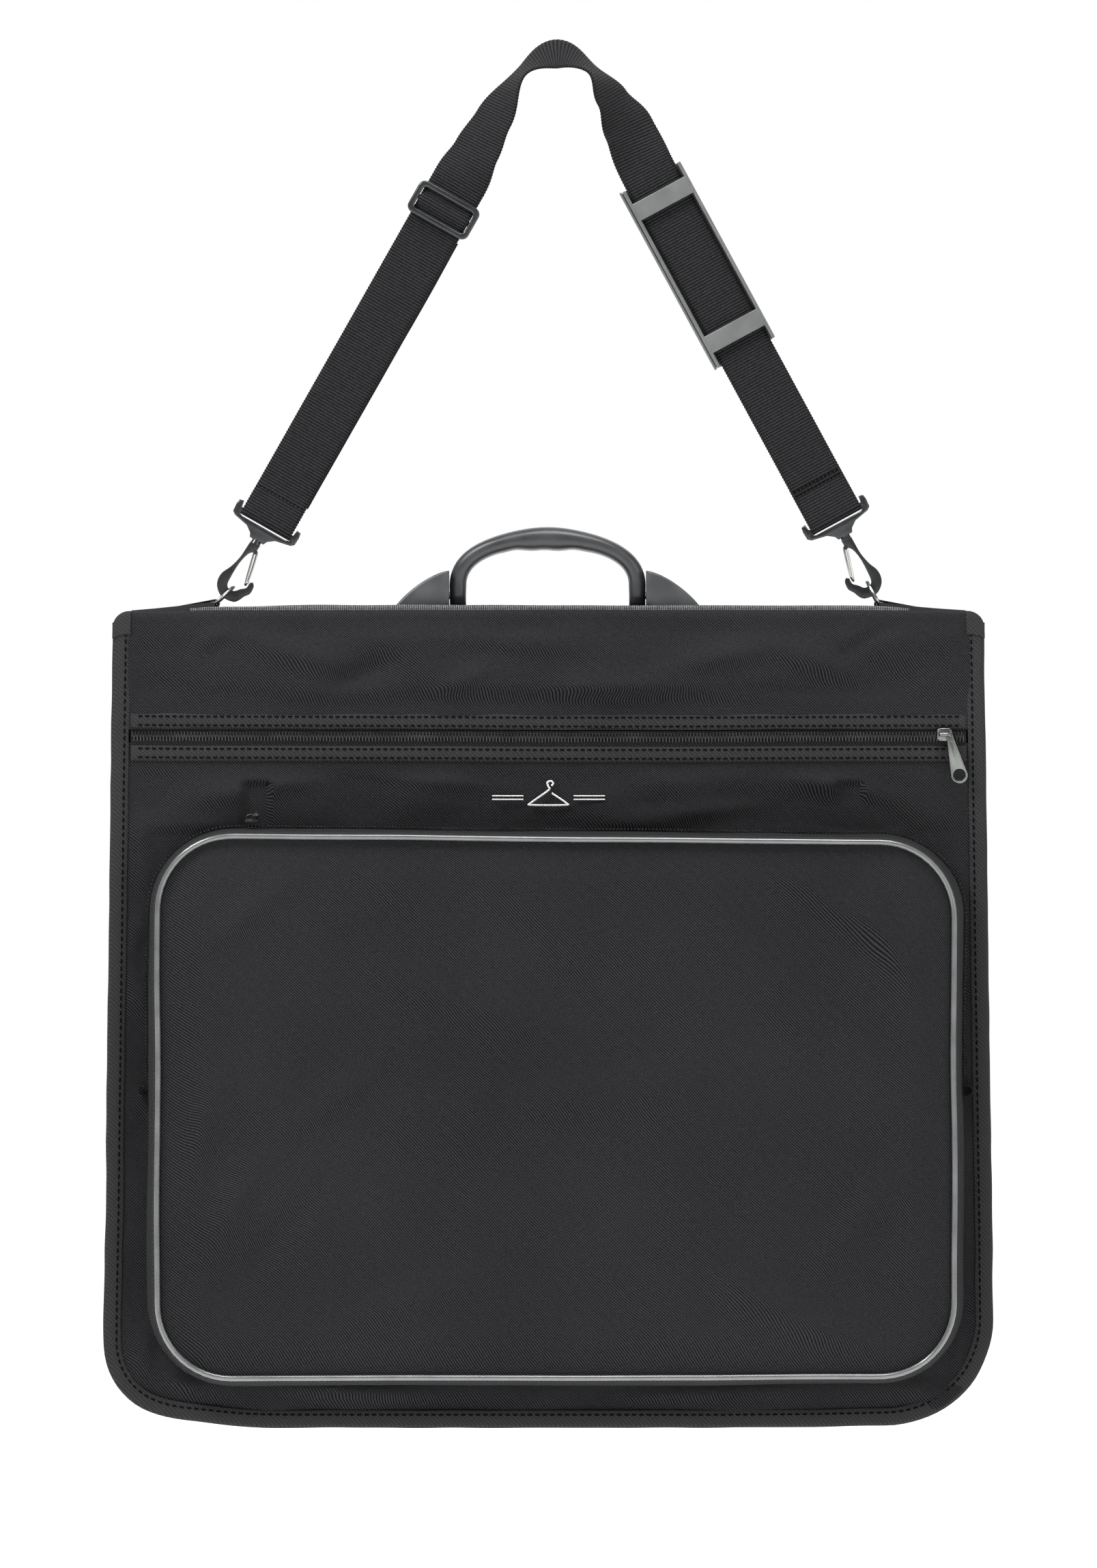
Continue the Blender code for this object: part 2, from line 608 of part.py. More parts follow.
def make_front_half(cloth, tape, coil, metal, thread):
    near, far = -FOLD_Y, -FOLD_Y + FABRIC
    zip_edge = COIL_WIDTH / 2 + 0.0003
    inset = TAPE + GAP
    plate("front_top_panel", cut_outline(inset, FOLD_Z - 0.0003, ZIP_Z + zip_edge), near, far, cloth)
    plate("front_main_panel", edge_line(inset, ZIP_Z - zip_edge), near, far, cloth)
    left, right = BAG_X - ZIP_HALF_LENGTH, BAG_X + ZIP_HALF_LENGTH
    block(
        "front_zip_coil", (left, near - 0.0015, ZIP_Z - COIL_WIDTH / 2),
        (right, far, ZIP_Z + COIL_WIDTH / 2), coil,
    )
    for name, low in (("upper", 0.0051), ("lower", -0.0064 - BAND_WIDTH)):
        low_z = ZIP_Z + low
        block(
            "front_zip_band_" + name, (left, near - 0.0012, low_z),
            (right, near - GAP, low_z + BAND_WIDTH), tape,
        )
    make_binding("front_binding", near - TAPE - GAP, -LINING_Y + TAPE + GAP, tape)
    make_lining("front", -LINING_Y - FABRIC, -LINING_Y, cloth, coil)
    place = Matrix.Translation((SLIDER_X, near - 0.0015 - GAP, ZIP_Z + 0.0010))
    make_slider("front_zip", place, 0.0337, 0.0113, metal, math.radians(-14))
    hanger = [
        (0.0020, 0.0066), (0.0032, 0.0082), (0.0016, 0.0098), (-0.0008, 0.0088), (-0.0002, 0.0062),
        (0.0, 0.0036),
    ]
    hanger += [
        (-0.0120, -0.0050), (-0.0112, -0.0064), (0.0112, -0.0064), (0.0120, -0.0050), (0.0022, 0.0016)
    ]
    motif = [(BAG_X + x, near - 0.0009, EMBLEM_Z + z) for x, z in hanger]
    rod("embroidered_hanger", motif, 0.0005, thread, sides=1)
    block(
        "tie_strap_front", (BAG_X - 0.270, near + 0.0060, -0.680), (BAG_X + 0.270, near + 0.0072, -0.655),
        tape,
    )


def make_pocket(cloth, tape, coil, metal, piping):
    face_y, base_y = -POCKET_Y, -FOLD_Y - GAP
    plate("pocket_face", pocket_outline(-FABRIC - GAP), face_y, face_y + FABRIC, cloth)
    corners = zip(
        pocket_outline(POCKET_FLARE), pocket_outline(0.0), pocket_outline(-FABRIC),
        pocket_outline(POCKET_FLARE - FABRIC),
    )
    rings = []
    for base, front, front_inner, base_inner in corners:
        section = ((base, base_y), (front, face_y), (front_inner, face_y), (base_inner, base_y))
        rings.append([Vector((x, depth, z)) for (x, z), depth in section])
    sweep("pocket_gusset", rings, cloth, closed=True)
    line = [(x, face_y - PIPING_RADIUS - GAP, z) for x, z in pocket_outline(0.0)]
    rod("pocket_piping", line, PIPING_RADIUS, piping, closed=True)

    strip = []
    for share, lift in ((0.08, 0.0005), (0.08, 0.0019), (0.24, 0.0019), (0.24, 0.0005)):
        offset = POCKET_FLARE * (1 - share) + lift
        rim = pocket_outline(offset)
        run = [
            (rim[len(rim) // 2 - 1][0], POCKET_ZIP_END_Z), *rim[len(rim) // 2 :],
            (rim[0][0], POCKET_ZIP_END_Z),
        ]
        strip.append([Vector((x, base_y + (face_y - base_y) * share, z)) for x, z in run])
    sweep("pocket_zip_coil", list(zip(*strip)), coil)

    coil_top = POCKET_TOP_Z + POCKET_FLARE * 0.92 + 0.0019
    place = Matrix.Translation((POCKET_SLIDER_X, -0.0338, coil_top + GAP)) @ Matrix.Rotation(
        math.radians(-90), 4, "X"
    )
    make_slider("pocket_zip", place, 0.0170, 0.0056, metal)
    for name, side in (("left", -1), ("right", 1)):
        root = POCKET_X + side * (POCKET_HALF_WIDTH + POCKET_FLARE + 0.0006)
        low, high = sorted((root, root + side * 0.0036))
        end_z = POCKET_ZIP_END_Z
        block(
            "pocket_tab_" + name, (low, -0.0372, end_z - 0.0130), (high, -0.0290, end_z - 0.0030), tape,
            0.0008,
        )


def make_back_half(cloth, tape, coil, metal, steel):
    near, far = FOLD_Y - FABRIC, FOLD_Y
    plate("back_panel", edge_line(TAPE + GAP, FOLD_Z - 0.0003), near, far, cloth)
    make_binding("back_binding", LINING_Y - TAPE - GAP, far + TAPE + GAP, tape)
    make_lining("back", LINING_Y, LINING_Y + FABRIC, cloth, coil)
    place = Matrix.Translation((BAG_X, LINING_Y - 0.0007 - GAP, -0.8800))
    make_slider("lining_zip", place, 0.0220, 0.0080, metal)
    bracket = block(
        "hanger_bracket", (BAG_X - 0.0300, near - 0.0034, -0.9000), (BAG_X + 0.0300, near - GAP, -0.8700),
        steel, 0.0008,
    )
    slot = local_block(
        "hanger_slot", (BAG_X - 0.0200, 0.0, -0.8890), (BAG_X + 0.0200, 0.05, -0.8800), Matrix()
    )
    combine(bracket, slot, "DIFFERENCE")
    block(
        "tie_strap_back", (BAG_X - 0.270, near - 0.0072, -0.680), (BAG_X + 0.270, near - 0.0060, -0.655),
        tape,
    )


def build():
    cloth = surface("black oxford cloth", (0.022, 0.022, 0.023), 0.85)
    tape = surface("charcoal binding tape", (0.045, 0.045, 0.046), 0.8)
    webbing = surface("black strap webbing", (0.015, 0.015, 0.015), 0.8)
    grey_webbing = surface("grey ribbed webbing", (0.09, 0.09, 0.09), 0.8)
    plastic = surface("dark grey moulded plastic", (0.06, 0.06, 0.065), 0.45)
    rubber = surface("grey moulded pad", (0.19, 0.2, 0.19), 0.6)
    coil = surface("black nylon zip coil", (0.02, 0.02, 0.02), 0.5)
    gunmetal = surface("gunmetal zip metal", (0.21, 0.22, 0.21), 0.35, 1.0)
    steel = surface("bright steel wire", (0.75, 0.75, 0.74), 0.2, 1.0)
    piping = surface("silver piping", (0.45, 0.45, 0.45), 0.3)
    thread = surface("white thread", (0.8, 0.8, 0.8), 0.6)

    make_strap(webbing)
    make_glide(plastic, webbing)
    make_pad(rubber)
    for name, end in ENDS.items():
        make_hook(name, end, plastic, steel)
        make_ring(name, end, steel, webbing)
    make_fold(cloth, grey_webbing, plastic, steel)
    make_handle(plastic, steel)
    make_front_half(cloth, tape, coil, gunmetal, thread)
    make_pocket(cloth, tape, coil, gunmetal, piping)
    make_back_half(cloth, tape, coil, gunmetal, steel)


clear_scene()
TOOL = surface("cutting tool", (1.0, 0.0, 0.0), 0.5)
build()
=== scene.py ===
import math
import bmesh
import bpy
from mathutils import Matrix, Vector, noise


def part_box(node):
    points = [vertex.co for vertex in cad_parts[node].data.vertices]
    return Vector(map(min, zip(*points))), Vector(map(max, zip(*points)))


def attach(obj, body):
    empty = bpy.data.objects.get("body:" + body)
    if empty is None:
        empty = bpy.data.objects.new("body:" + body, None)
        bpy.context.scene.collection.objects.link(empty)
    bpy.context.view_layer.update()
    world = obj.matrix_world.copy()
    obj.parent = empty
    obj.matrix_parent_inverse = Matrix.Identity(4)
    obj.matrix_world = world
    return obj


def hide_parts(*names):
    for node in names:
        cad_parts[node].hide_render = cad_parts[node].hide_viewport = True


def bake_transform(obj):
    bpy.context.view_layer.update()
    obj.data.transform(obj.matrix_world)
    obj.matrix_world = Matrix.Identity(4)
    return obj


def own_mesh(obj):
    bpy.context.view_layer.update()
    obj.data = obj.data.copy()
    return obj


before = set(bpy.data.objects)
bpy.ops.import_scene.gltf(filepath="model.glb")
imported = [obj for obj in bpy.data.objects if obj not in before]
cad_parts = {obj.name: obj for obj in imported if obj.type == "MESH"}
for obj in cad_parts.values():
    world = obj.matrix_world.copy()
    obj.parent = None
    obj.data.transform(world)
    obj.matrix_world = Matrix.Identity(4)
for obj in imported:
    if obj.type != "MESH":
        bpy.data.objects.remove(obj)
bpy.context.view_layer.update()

mm = 0.001


def linear(code):
    # sRGB hex to linear rgba
    channels = [int(code[i:i + 2], 16) / 255 for i in (1, 3, 5)]
    return [c / 12.92 if c <= 0.04045 else ((c + 0.055) / 1.055) ** 2.4 for c in channels] + [1.0]


def addNode(tree, kind, inputs=None, **settings):
    # adds one shader node with its settings; each input is a value or another node's output
    node = tree.nodes.new(kind)
    for name, value in settings.items():
        setattr(node, name, value)
    for socket, value in (inputs or {}).items():
        if isinstance(value, bpy.types.NodeSocket):
            tree.links.new(value, node.inputs[socket])
        else:
            node.inputs[socket].default_value = value
    return node.outputs


def finishPiece(bm, name, material, body=None, replaced=(), angle=40):
    # turns the drawn mesh into a named object that rides on one body
    bmesh.ops.recalc_face_normals(bm, faces=bm.faces)
    mesh = bpy.data.meshes.new(name)
    bm.to_mesh(mesh)
    bm.free()
    piece = bpy.data.objects.new(name, mesh)
    bpy.context.scene.collection.objects.link(piece)
    mesh.materials.append(material)
    mesh.shade_smooth()
    mesh.set_sharp_from_angle(angle=math.radians(angle))
    if body:
        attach(piece, body)
    if replaced:
        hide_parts(*replaced)
    return piece


def thicken(piece, depth, offset=0.0):
    wall = piece.modifiers.new("Thickness", "SOLIDIFY")
    wall.thickness = depth
    wall.offset = offset
    return piece


def smoothPath(points, steps):
    # a smooth curve through the given points
    line = [Vector(p) for p in points]
    line = [2 * line[0] - line[1], *line, 2 * line[-1] - line[-2]]
    found = []
    for i in range(1, len(line) - 2):
        a, b, c, d = line[i - 1:i + 3]
        for step in range(steps):
            t = step / steps
            turn = 2 * a - 5 * b + 4 * c - d
            found.append(0.5 * (2 * b + (c - a) * t + turn * t * t + (3 * b - a - 3 * c + d) * t ** 3))
    return found + [line[-2]]


def evenPath(points, spacing, closed=False):
    # the same line with points at even distances
    line = list(points) + ([points[0]] if closed else [])
    lengths = [(b - a).length for a, b in zip(line, line[1:])]
    total = sum(lengths)
    count = max(2, round(total / spacing))
    found, at, walked = [], 0, 0.0
    for i in range(count if closed else count + 1):
        goal = min(total * i / count, total - 1e-9)
        while walked + lengths[at] < goal:
            walked += lengths[at]
            at += 1
        found.append(line[at].lerp(line[at + 1], (goal - walked) / lengths[at]))
    return found


def extrudeAlong(bm, rings, closedRing=True, closedPath=False, caps=True):
    # draws the first ring, then extrudes its edges from ring to ring
    verts = [bm.verts.new(p) for p in rings[0]]
    pairs = list(zip(verts, verts[1:])) + ([(verts[-1], verts[0])] if closedRing else [])
    edges = [bm.edges.new(pair) for pair in pairs]
    if caps and closedRing and not closedPath:
        bm.faces.new(verts)
    first, order = verts, verts
    for ring in rings[1:]:
        made = bmesh.ops.extrude_edge_only(bm, edges=edges)["geom"]
        known, link = set(order), {}
        for vert in [part for part in made if isinstance(part, bmesh.types.BMVert)]:
            for edge in vert.link_edges:
                other = edge.other_vert(vert)
                if other in known:
                    link[other] = vert
        order = [link[v] for v in order]
        for vert, point in zip(order, ring):
            vert.co = point
        pairs = list(zip(order, order[1:])) + ([(order[-1], order[0])] if closedRing else [])
        edges = [bm.edges.get(pair) for pair in pairs]
    if closedPath:
        pairs = list(zip(first, first[1:])) + ([(first[-1], first[0])] if closedRing else [])
        bmesh.ops.bridge_loops(bm, edges=edges + [bm.edges.get(pair) for pair in pairs])
    elif caps and closedRing:
        bm.faces.new(order)
    return first, order


def tangents(points, closed=False):
    n = len(points)
    found = []
    for i in range(n):
        before = points[i - 1] if closed or i else points[0]
        after = points[(i + 1) % n] if closed or i < n - 1 else points[-1]
        found.append((after - before).normalized())
    return found


def wire(bm, points, radius, sides=8, closed=False, flat=Vector((0, 1, 0)), squeeze=1.0):
    # a round wire along a path, squeezed along the flat direction if asked
    radii = radius if isinstance(radius, (list, tuple)) else [radius] * len(points)
    turns = [2 * math.pi * i / sides for i in range(sides)]
    rings = []
    for point, along, size in zip(points, tangents(points, closed), radii):
        up = (flat - along * flat.dot(along)).normalized()
        side = along.cross(up)
        rings.append([point + side * size * math.cos(t) + up * size * squeeze * math.sin(t) for t in turns])
    extrudeAlong(bm, rings, closedPath=closed)


def fillPlate(bm, outlines, near, far, bevel=0.0, segments=2):
    # a flat plate between two depths from its outline and its holes, with rounded edges
    edges = []
    for outline in outlines:
        verts = [bm.verts.new((p[0], near, p[1])) for p in outline]
        edges += [bm.edges.new(pair) for pair in zip(verts, verts[1:] + verts[:1])]
    made = bmesh.ops.triangle_fill(bm, edges=edges, use_beauty=True)["geom"]
    faces = [part for part in made if isinstance(part, bmesh.types.BMFace)]
    grown = bmesh.ops.extrude_face_region(bm, geom=faces)["geom"]
    moved = [part for part in grown if isinstance(part, bmesh.types.BMVert)]
    bmesh.ops.translate(bm, verts=moved, vec=(0, far - near, 0))
    if bevel:
        rims = [e for e in edges if e.is_valid]
        rims += [e for e in {e for v in moved for e in v.link_edges} if len(e.link_faces) == 2
                 and abs(e.verts[0].co.y - far) + abs(e.verts[1].co.y - far) < 1e-9
                 and any(abs(v.co.y - near) < 1e-9 for f in e.link_faces for v in f.verts)]
        bmesh.ops.bevel(bm, geom=rims, offset=bevel, segments=segments, profile=0.5, affect="EDGES",
                        material=-1,
                        clamp_overlap=True)
    return bm


def arcPoints(center, radius, start, end, count):
    turns = [math.radians(start + (end - start) * i / count) for i in range(count + 1)]
    return [Vector((center[0] + radius * math.cos(t), 0, center[1] + radius * math.sin(t))) for t in turns]


def ease(t):
    t = max(0.0, min(1.0, t))
    return t * t * (3 - 2 * t)


def startMaterial(name, color, roughness, metallic=0.0):
    material = bpy.data.materials.new(name)
    material.use_nodes = True
    shader = material.node_tree.nodes["Principled BSDF"]
    shader.inputs["Base Color"].default_value = linear(color)
    shader.inputs["Roughness"].default_value = roughness
    shader.inputs["Metallic"].default_value = metallic
    return material, material.node_tree, shader


def wovenCloth(name, dark, light, thread, twill, sheen, roughness=0.85, gloss=0.18):
    # crossing threads, a twill line over them, a few paler slubs and slow cloudy patches of lighter and darker
    # tone
    material, tree, shader = startMaterial(name, dark, roughness)
    shader.inputs["Sheen Weight"].default_value = sheen
    shader.inputs["Sheen Roughness"].default_value = 0.45
    shader.inputs["Specular IOR Level"].default_value = gloss
    place = addNode(tree, "ShaderNodeTexCoord")["Object"]
    axes = addNode(tree, "ShaderNodeSeparateXYZ", {0: place})
    across = addNode(tree, "ShaderNodeMath", {0: axes[0], 1: axes[1]}, operation="ADD")[0]
    down = addNode(tree, "ShaderNodeMath", {0: axes[2], 1: axes[1]}, operation="ADD")[0]
    slant = addNode(tree, "ShaderNodeMath", {0: across, 1: down}, operation="ADD")[0]
    waves = []
    for way, pitch in ((across, thread), (down, thread), (slant, twill)):
        turned = addNode(tree, "ShaderNodeMath", {0: way, 1: 2 * math.pi / pitch}, operation="MULTIPLY")[0]
        wave = addNode(tree, "ShaderNodeMath", {0: turned}, operation="SINE")[0]
        waves.append(addNode(tree, "ShaderNodeMath", {0: wave, 1: 0.5, 2: 0.5}, operation="MULTIPLY_ADD")[0])
    gap = addNode(tree, "ShaderNodeMath", {0: waves[0], 1: waves[1]}, operation="SUBTRACT")[0]
    basket = addNode(tree, "ShaderNodeMath", {0: gap}, operation="ABSOLUTE")[0]
    slub = addNode(tree, "ShaderNodeTexNoise", {"Vector": place, "Scale": 900.0, "Detail": 1.0})[0]
    cloudy = addNode(tree, "ShaderNodeTexNoise", {"Vector": place, "Scale": 7.0, "Detail": 3.0})[0]
    mixed = addNode(tree, "ShaderNodeMath", {0: basket, 1: 0.25, 2: 0.0}, operation="MULTIPLY_ADD")[0]
    for part, share in ((waves[2], 0.75), (slub, 0.40), (cloudy, 0.25)):
        mixed = addNode(tree, "ShaderNodeMath", {0: part, 1: share, 2: mixed}, operation="MULTIPLY_ADD")[0]
    level = addNode(tree, "ShaderNodeMapRange", {"Value": mixed, "From Min": 0.45, "From Max": 1.35})[0]
    tint = addNode(tree, "ShaderNodeMixRGB",
                   {"Fac": level, "Color1": linear(dark), "Color2": linear(light)})[0]
    tree.links.new(tint, shader.inputs["Base Color"])
    height = addNode(tree, "ShaderNodeMath", {0: waves[2], 1: 0.9, 2: basket}, operation="MULTIPLY_ADD")[0]
    relief = {"Height": height, "Distance": 0.30 * mm, "Strength": 0.5}
    tree.links.new(addNode(tree, "ShaderNodeBump", relief)[0], shader.inputs["Normal"])
    return material


def ribbedWebbing(name, dark, light, pitch, attribute=True, gloss=0.1):
    # ribs across the webbing, broken into narrow rows along it
    material, tree, shader = startMaterial(name, dark, 0.75)
    shader.inputs["Sheen Weight"].default_value = 0.02
    shader.inputs["Specular IOR Level"].default_value = gloss
    place = addNode(tree, "ShaderNodeTexCoord")["Object"]
    if attribute:
        along = addNode(tree, "ShaderNodeAttribute", attribute_name="along")["Fac"]
        across = addNode(tree, "ShaderNodeAttribute", attribute_name="across")["Fac"]
    else:
        axes = addNode(tree, "ShaderNodeSeparateXYZ", {0: place})
        along = axes[0]
        across = addNode(tree, "ShaderNodeMath", {0: axes[1], 1: axes[2]}, operation="ADD")[0]
    waves = []
    for way, size in ((along, pitch), (across, 1.6 * mm)):
        turned = addNode(tree, "ShaderNodeMath", {0: way, 1: 2 * math.pi / size}, operation="MULTIPLY")[0]
        wave = addNode(tree, "ShaderNodeMath", {0: turned}, operation="SINE")[0]
        waves.append(addNode(tree, "ShaderNodeMath", {0: wave, 1: 0.5, 2: 0.5}, operation="MULTIPLY_ADD")[0])
    slub = addNode(tree, "ShaderNodeTexNoise", {"Vector": place, "Scale": 700.0, "Detail": 1.0})[0]
    mixed = addNode(tree, "ShaderNodeMath", {0: slub, 1: 0.6}, operation="MULTIPLY")[0]
    for part, share in ((waves[0], 0.75), (waves[1], 0.28)):
        mixed = addNode(tree, "ShaderNodeMath", {0: part, 1: share, 2: mixed}, operation="MULTIPLY_ADD")[0]
    level = addNode(tree, "ShaderNodeMapRange", {"Value": mixed, "From Min": 0.45, "From Max": 1.3})[0]
    tint = addNode(tree, "ShaderNodeMixRGB",
                   {"Fac": level, "Color1": linear(dark), "Color2": linear(light)})[0]
    tree.links.new(tint, shader.inputs["Base Color"])
    height = addNode(tree, "ShaderNodeMath", {0: waves[1], 1: 0.4, 2: waves[0]}, operation="MULTIPLY_ADD")[0]
    relief = {"Height": height, "Distance": 0.5 * mm, "Strength": 0.8}
    tree.links.new(addNode(tree, "ShaderNodeBump", relief)[0], shader.inputs["Normal"])
    return material


def mouldedPlastic(name, color, worn, roughness, grain, depth, gloss=0.5, metallic=0.0):
    # a fine grain from the mould, slightly paler and duller in patches
    material, tree, shader = startMaterial(name, color, roughness, metallic)
    if not metallic:
        shader.inputs["Specular IOR Level"].default_value = gloss
    place = addNode(tree, "ShaderNodeTexCoord")["Object"]
    fine = addNode(tree, "ShaderNodeTexNoise", {"Vector": place, "Scale": 1 / grain})[0]
    patch = addNode(tree, "ShaderNodeTexNoise", {"Vector": place, "Scale": 60.0, "Detail": 3.0})[0]
    level = addNode(tree, "ShaderNodeMapRange", {"Value": patch, "From Min": 0.35, "From Max": 0.8})[0]
    tint = addNode(tree, "ShaderNodeMixRGB",
                   {"Fac": level, "Color1": linear(color), "Color2": linear(worn)})[0]
    tree.links.new(tint, shader.inputs["Base Color"])
    dull = {0: patch, 1: 0.25, 2: roughness - 0.12}
    tree.links.new(addNode(tree, "ShaderNodeMath", dull, operation="MULTIPLY_ADD")[0],
                   shader.inputs["Roughness"])
    relief = {"Height": fine, "Distance": depth, "Strength": 0.5}
    tree.links.new(addNode(tree, "ShaderNodeBump", relief)[0], shader.inputs["Normal"])
    return material


# polyester oxford: matte, near black; its real 0.35 mm threads are drawn at 1.1 mm so that they show
oxfordCloth = wovenCloth("polyester oxford cloth", "#020203", "#323234", 1.1 * mm, 2.0 * mm, 0.02, gloss=0.10)
# grosgrain binding: smoother and a little paler; its real 0.3 mm ribs are drawn at 0.9 mm
bindingTape = wovenCloth("grosgrain binding tape", "#222223", "#313132", 0.9 * mm, 3.0 * mm, 0.02, gloss=0.12)
# taffeta lining: thin and slightly shiny; its real 0.2 mm threads are drawn at 0.8 mm
liningCloth = wovenCloth("nylon taffeta lining", "#161618", "#303034", 0.8 * mm, 2.4 * mm, 0.06, 0.55, 0.35)
# polypropylene webbing: deep black with 2 mm cross ribs
strapWebbing = ribbedWebbing("polypropylene strap webbing", "#030304", "#29292b", 2.0 * mm)
greyWebbing = ribbedWebbing("grey ribbed webbing", "#1c1d1e", "#8a8c8d", 1.25 * mm, attribute=False)
# nylon of the handle and its caps: satin, leathery grain
handleNylon = mouldedPlastic("moulded nylon handle", "#242527", "#323335", 0.40, 0.6 * mm, 0.05 * mm)
capNylon = mouldedPlastic("moulded nylon end cap", "#323335", "#434547", 0.42, 0.6 * mm, 0.05 * mm)
# acetal of the hooks and the webbing slider: smooth and glossier
hookAcetal = mouldedPlastic("moulded acetal hook", "#161719", "#222426", 0.26, 0.9 * mm, 0.02 * mm)
# thermoplastic rubber of the shoulder pad: mid grey, dull
padRubber = mouldedPlastic("thermoplastic rubber pad", "#4f5150", "#5d5f5e", 0.42, 0.7 * mm, 0.06 * mm)
coilNylon = mouldedPlastic("nylon zip coil", "#1a1a1b", "#2c2c2e", 0.30, 0.4 * mm, 0.02 * mm)
# soft vinyl piping: silver grey, glossy
pipingVinyl = mouldedPlastic("soft silver vinyl piping", "#4c4e4e", "#5a5c5c", 0.20, 1.2 * mm, 0.01 * mm, 1.0)
blackThread = mouldedPlastic("bonded sewing thread", "#030303", "#080808", 0.7, 0.4 * mm, 0.02 * mm, 0.05)
whiteThread = ribbedWebbing("rayon embroidery thread", "#c4c4c0", "#f6f6f2", 0.9 * mm, attribute=False)
# plated metals: fine tumbling marks and a little tarnish
zipAlloy = mouldedPlastic("gunmetal plated zinc alloy", "#6d706d", "#8a8d89", 0.36, 0.5 * mm, 0.02 * mm,
                          metallic=1.0)
brightNickel = mouldedPlastic("bright nickel plated steel", "#a5a4a1", "#7d7c7a", 0.22, 0.4 * mm, 0.01 * mm,
                              metallic=1.0)
print("materials made")


view = {"middle": (-0.0053, -0.4934), "distance": 8.0, "height": 1.0597, "floor": -1.16, "glow": 1.0,
        "sky": 0.34}


def setStage():
    # the camera looks straight at the front, as far off as a long lens; soft lamps; a white floor and sky
    camera = bpy.data.objects.new("camera", bpy.data.cameras.new("camera"))
    camera.location = (view["middle"][0], -view["distance"], view["middle"][1])
    camera.rotation_euler = (math.pi / 2, 0, 0)
    camera.data.sensor_width = 36.0
    camera.data.lens = 18.0 / (view["height"] / 2 / view["distance"])
    camera.data.clip_end = 60.0
    bpy.context.scene.collection.objects.link(camera)
    bpy.context.scene.camera = camera
    bpy.context.scene.view_settings.view_transform = "Standard"

    paper, tree, shader = startMaterial("matte white studio paper", "#fbfbfb", 0.9)
    shader.inputs["Emission Color"].default_value = (1, 1, 1, 1)
    shader.inputs["Emission Strength"].default_value = view["glow"]
    bm = bmesh.new()
    bmesh.ops.create_grid(bm, x_segments=1, y_segments=1, size=14.0)
    bmesh.ops.translate(bm, verts=bm.verts, vec=(0, 0, view["floor"]))
    finishPiece(bm, "floor", paper)

    lamps = (("key", (-1.5, -1.1, 1.5), 0.9, 80.0), ("fill", (2.4, -2.2, 0.3), 1.6, 30.0),
             ("top", (0.3, -0.7, 1.9), 1.2, 60.0), ("rim", (0.2, 2.6, 0.5), 2.4, 30.0))
    for name, place, size, power in lamps:
        lamp = bpy.data.lights.new(name, "AREA")
        lamp.size = size
        lamp.energy = power
        item = bpy.data.objects.new(name, lamp)
        item.location = place
        item.rotation_euler = (Vector((0, 0, -0.5)) - Vector(place)).to_track_quat("-Z", "Y").to_euler()
        bpy.context.scene.collection.objects.link(item)
    # the studio is seen as plain white, and lights the bag more dimly than that
    world = bpy.data.worlds.new("studio")
    world.use_nodes = True
    tree = world.node_tree
    seen = addNode(tree, "ShaderNodeLightPath")["Is Camera Ray"]
    strength = addNode(tree, "ShaderNodeMapRange", {"Value": seen, "To Min": view["sky"], "To Max": 1.0})[0]
    tree.nodes["Background"].inputs[0].default_value = (1, 1, 1, 1)
    tree.links.new(strength, tree.nodes["Background"].inputs[1])
    bpy.context.scene.world = world


setStage()
print("stage set")


bindLow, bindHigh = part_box("front_binding")
backLow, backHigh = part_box("back_binding")
topLow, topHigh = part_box("front_top_panel")
coilLow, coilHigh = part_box("front_zip_coil")
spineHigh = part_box("spine_panel")[1]
gussetLow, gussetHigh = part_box("pocket_gusset")
bag = {
    "midX": (bindLow.x + bindHigh.x) / 2,
    "foldZ": topHigh.z + 0.3 * mm,
    "bottomZ": bindLow.z,
    "halfBottom": (bindHigh.x - bindLow.x) / 2,
    "halfTop": 293.5 * mm,
    "leftCorner": 58 * mm,
    "rightCorner": 74 * mm,
    "topCorner": 11 * mm,
    "frontY": topLow.y,
}


def halfWidth(z):
    share = (bag["foldZ"] - z) / (bag["foldZ"] - bag["bottomZ"])
    return bag["halfTop"] + (bag["halfBottom"] - bag["halfTop"]) * max(0.0, min(1.0, share))


def ripple(x, z, scale, seed, stretch=1.0):
    return noise.noise(Vector((x * scale, seed, z * scale * stretch)))


def rowEnds(z, inset):
    # the cloth's left and right ends at a height, drawn in where the bottom corners are round
    ends = []
    for side, corner in ((-1, bag["leftCorner"]), (1, bag["rightCorner"])):
        half, radius = halfWidth(z) - inset, corner - inset
        drop = min(bag["bottomZ"] + corner - z, radius)
        if drop > 0:
            half -= radius - math.sqrt(max(0.0, radius * radius - drop * drop))
        ends.append(bag["midX"] + side * half)
    return ends


def edgeLift(x, z):
    # the bottom edge rises a little beside the corners and wavers along its length
    fromLeft, fromRight = x - (bag["midX"] - bag["halfBottom"]), bag["midX"] + bag["halfBottom"] - x
    lift = 5.0 * mm * math.exp(-((fromLeft - 48 * mm) / (34 * mm)) ** 2)
    lift += 1.6 * mm * math.exp(-((fromRight - 70 * mm) / (40 * mm)) ** 2) + 0.8 * mm * ripple(x, 0, 10.0,
                                                                                               14.5)
    return max(lift, 0.0) * ease(1 - (z - bag["bottomZ"]) / (70 * mm))


def gridSheet(columns, rows, shape):
    # a grid whose corners run from -1 to 1, then shaped point by point
    bm = bmesh.new()
    bmesh.ops.create_grid(bm, x_segments=columns, y_segments=rows, size=1.0)
    for vert in bm.verts:
        vert.co = shape(vert.co.x, vert.co.y)
    return bm


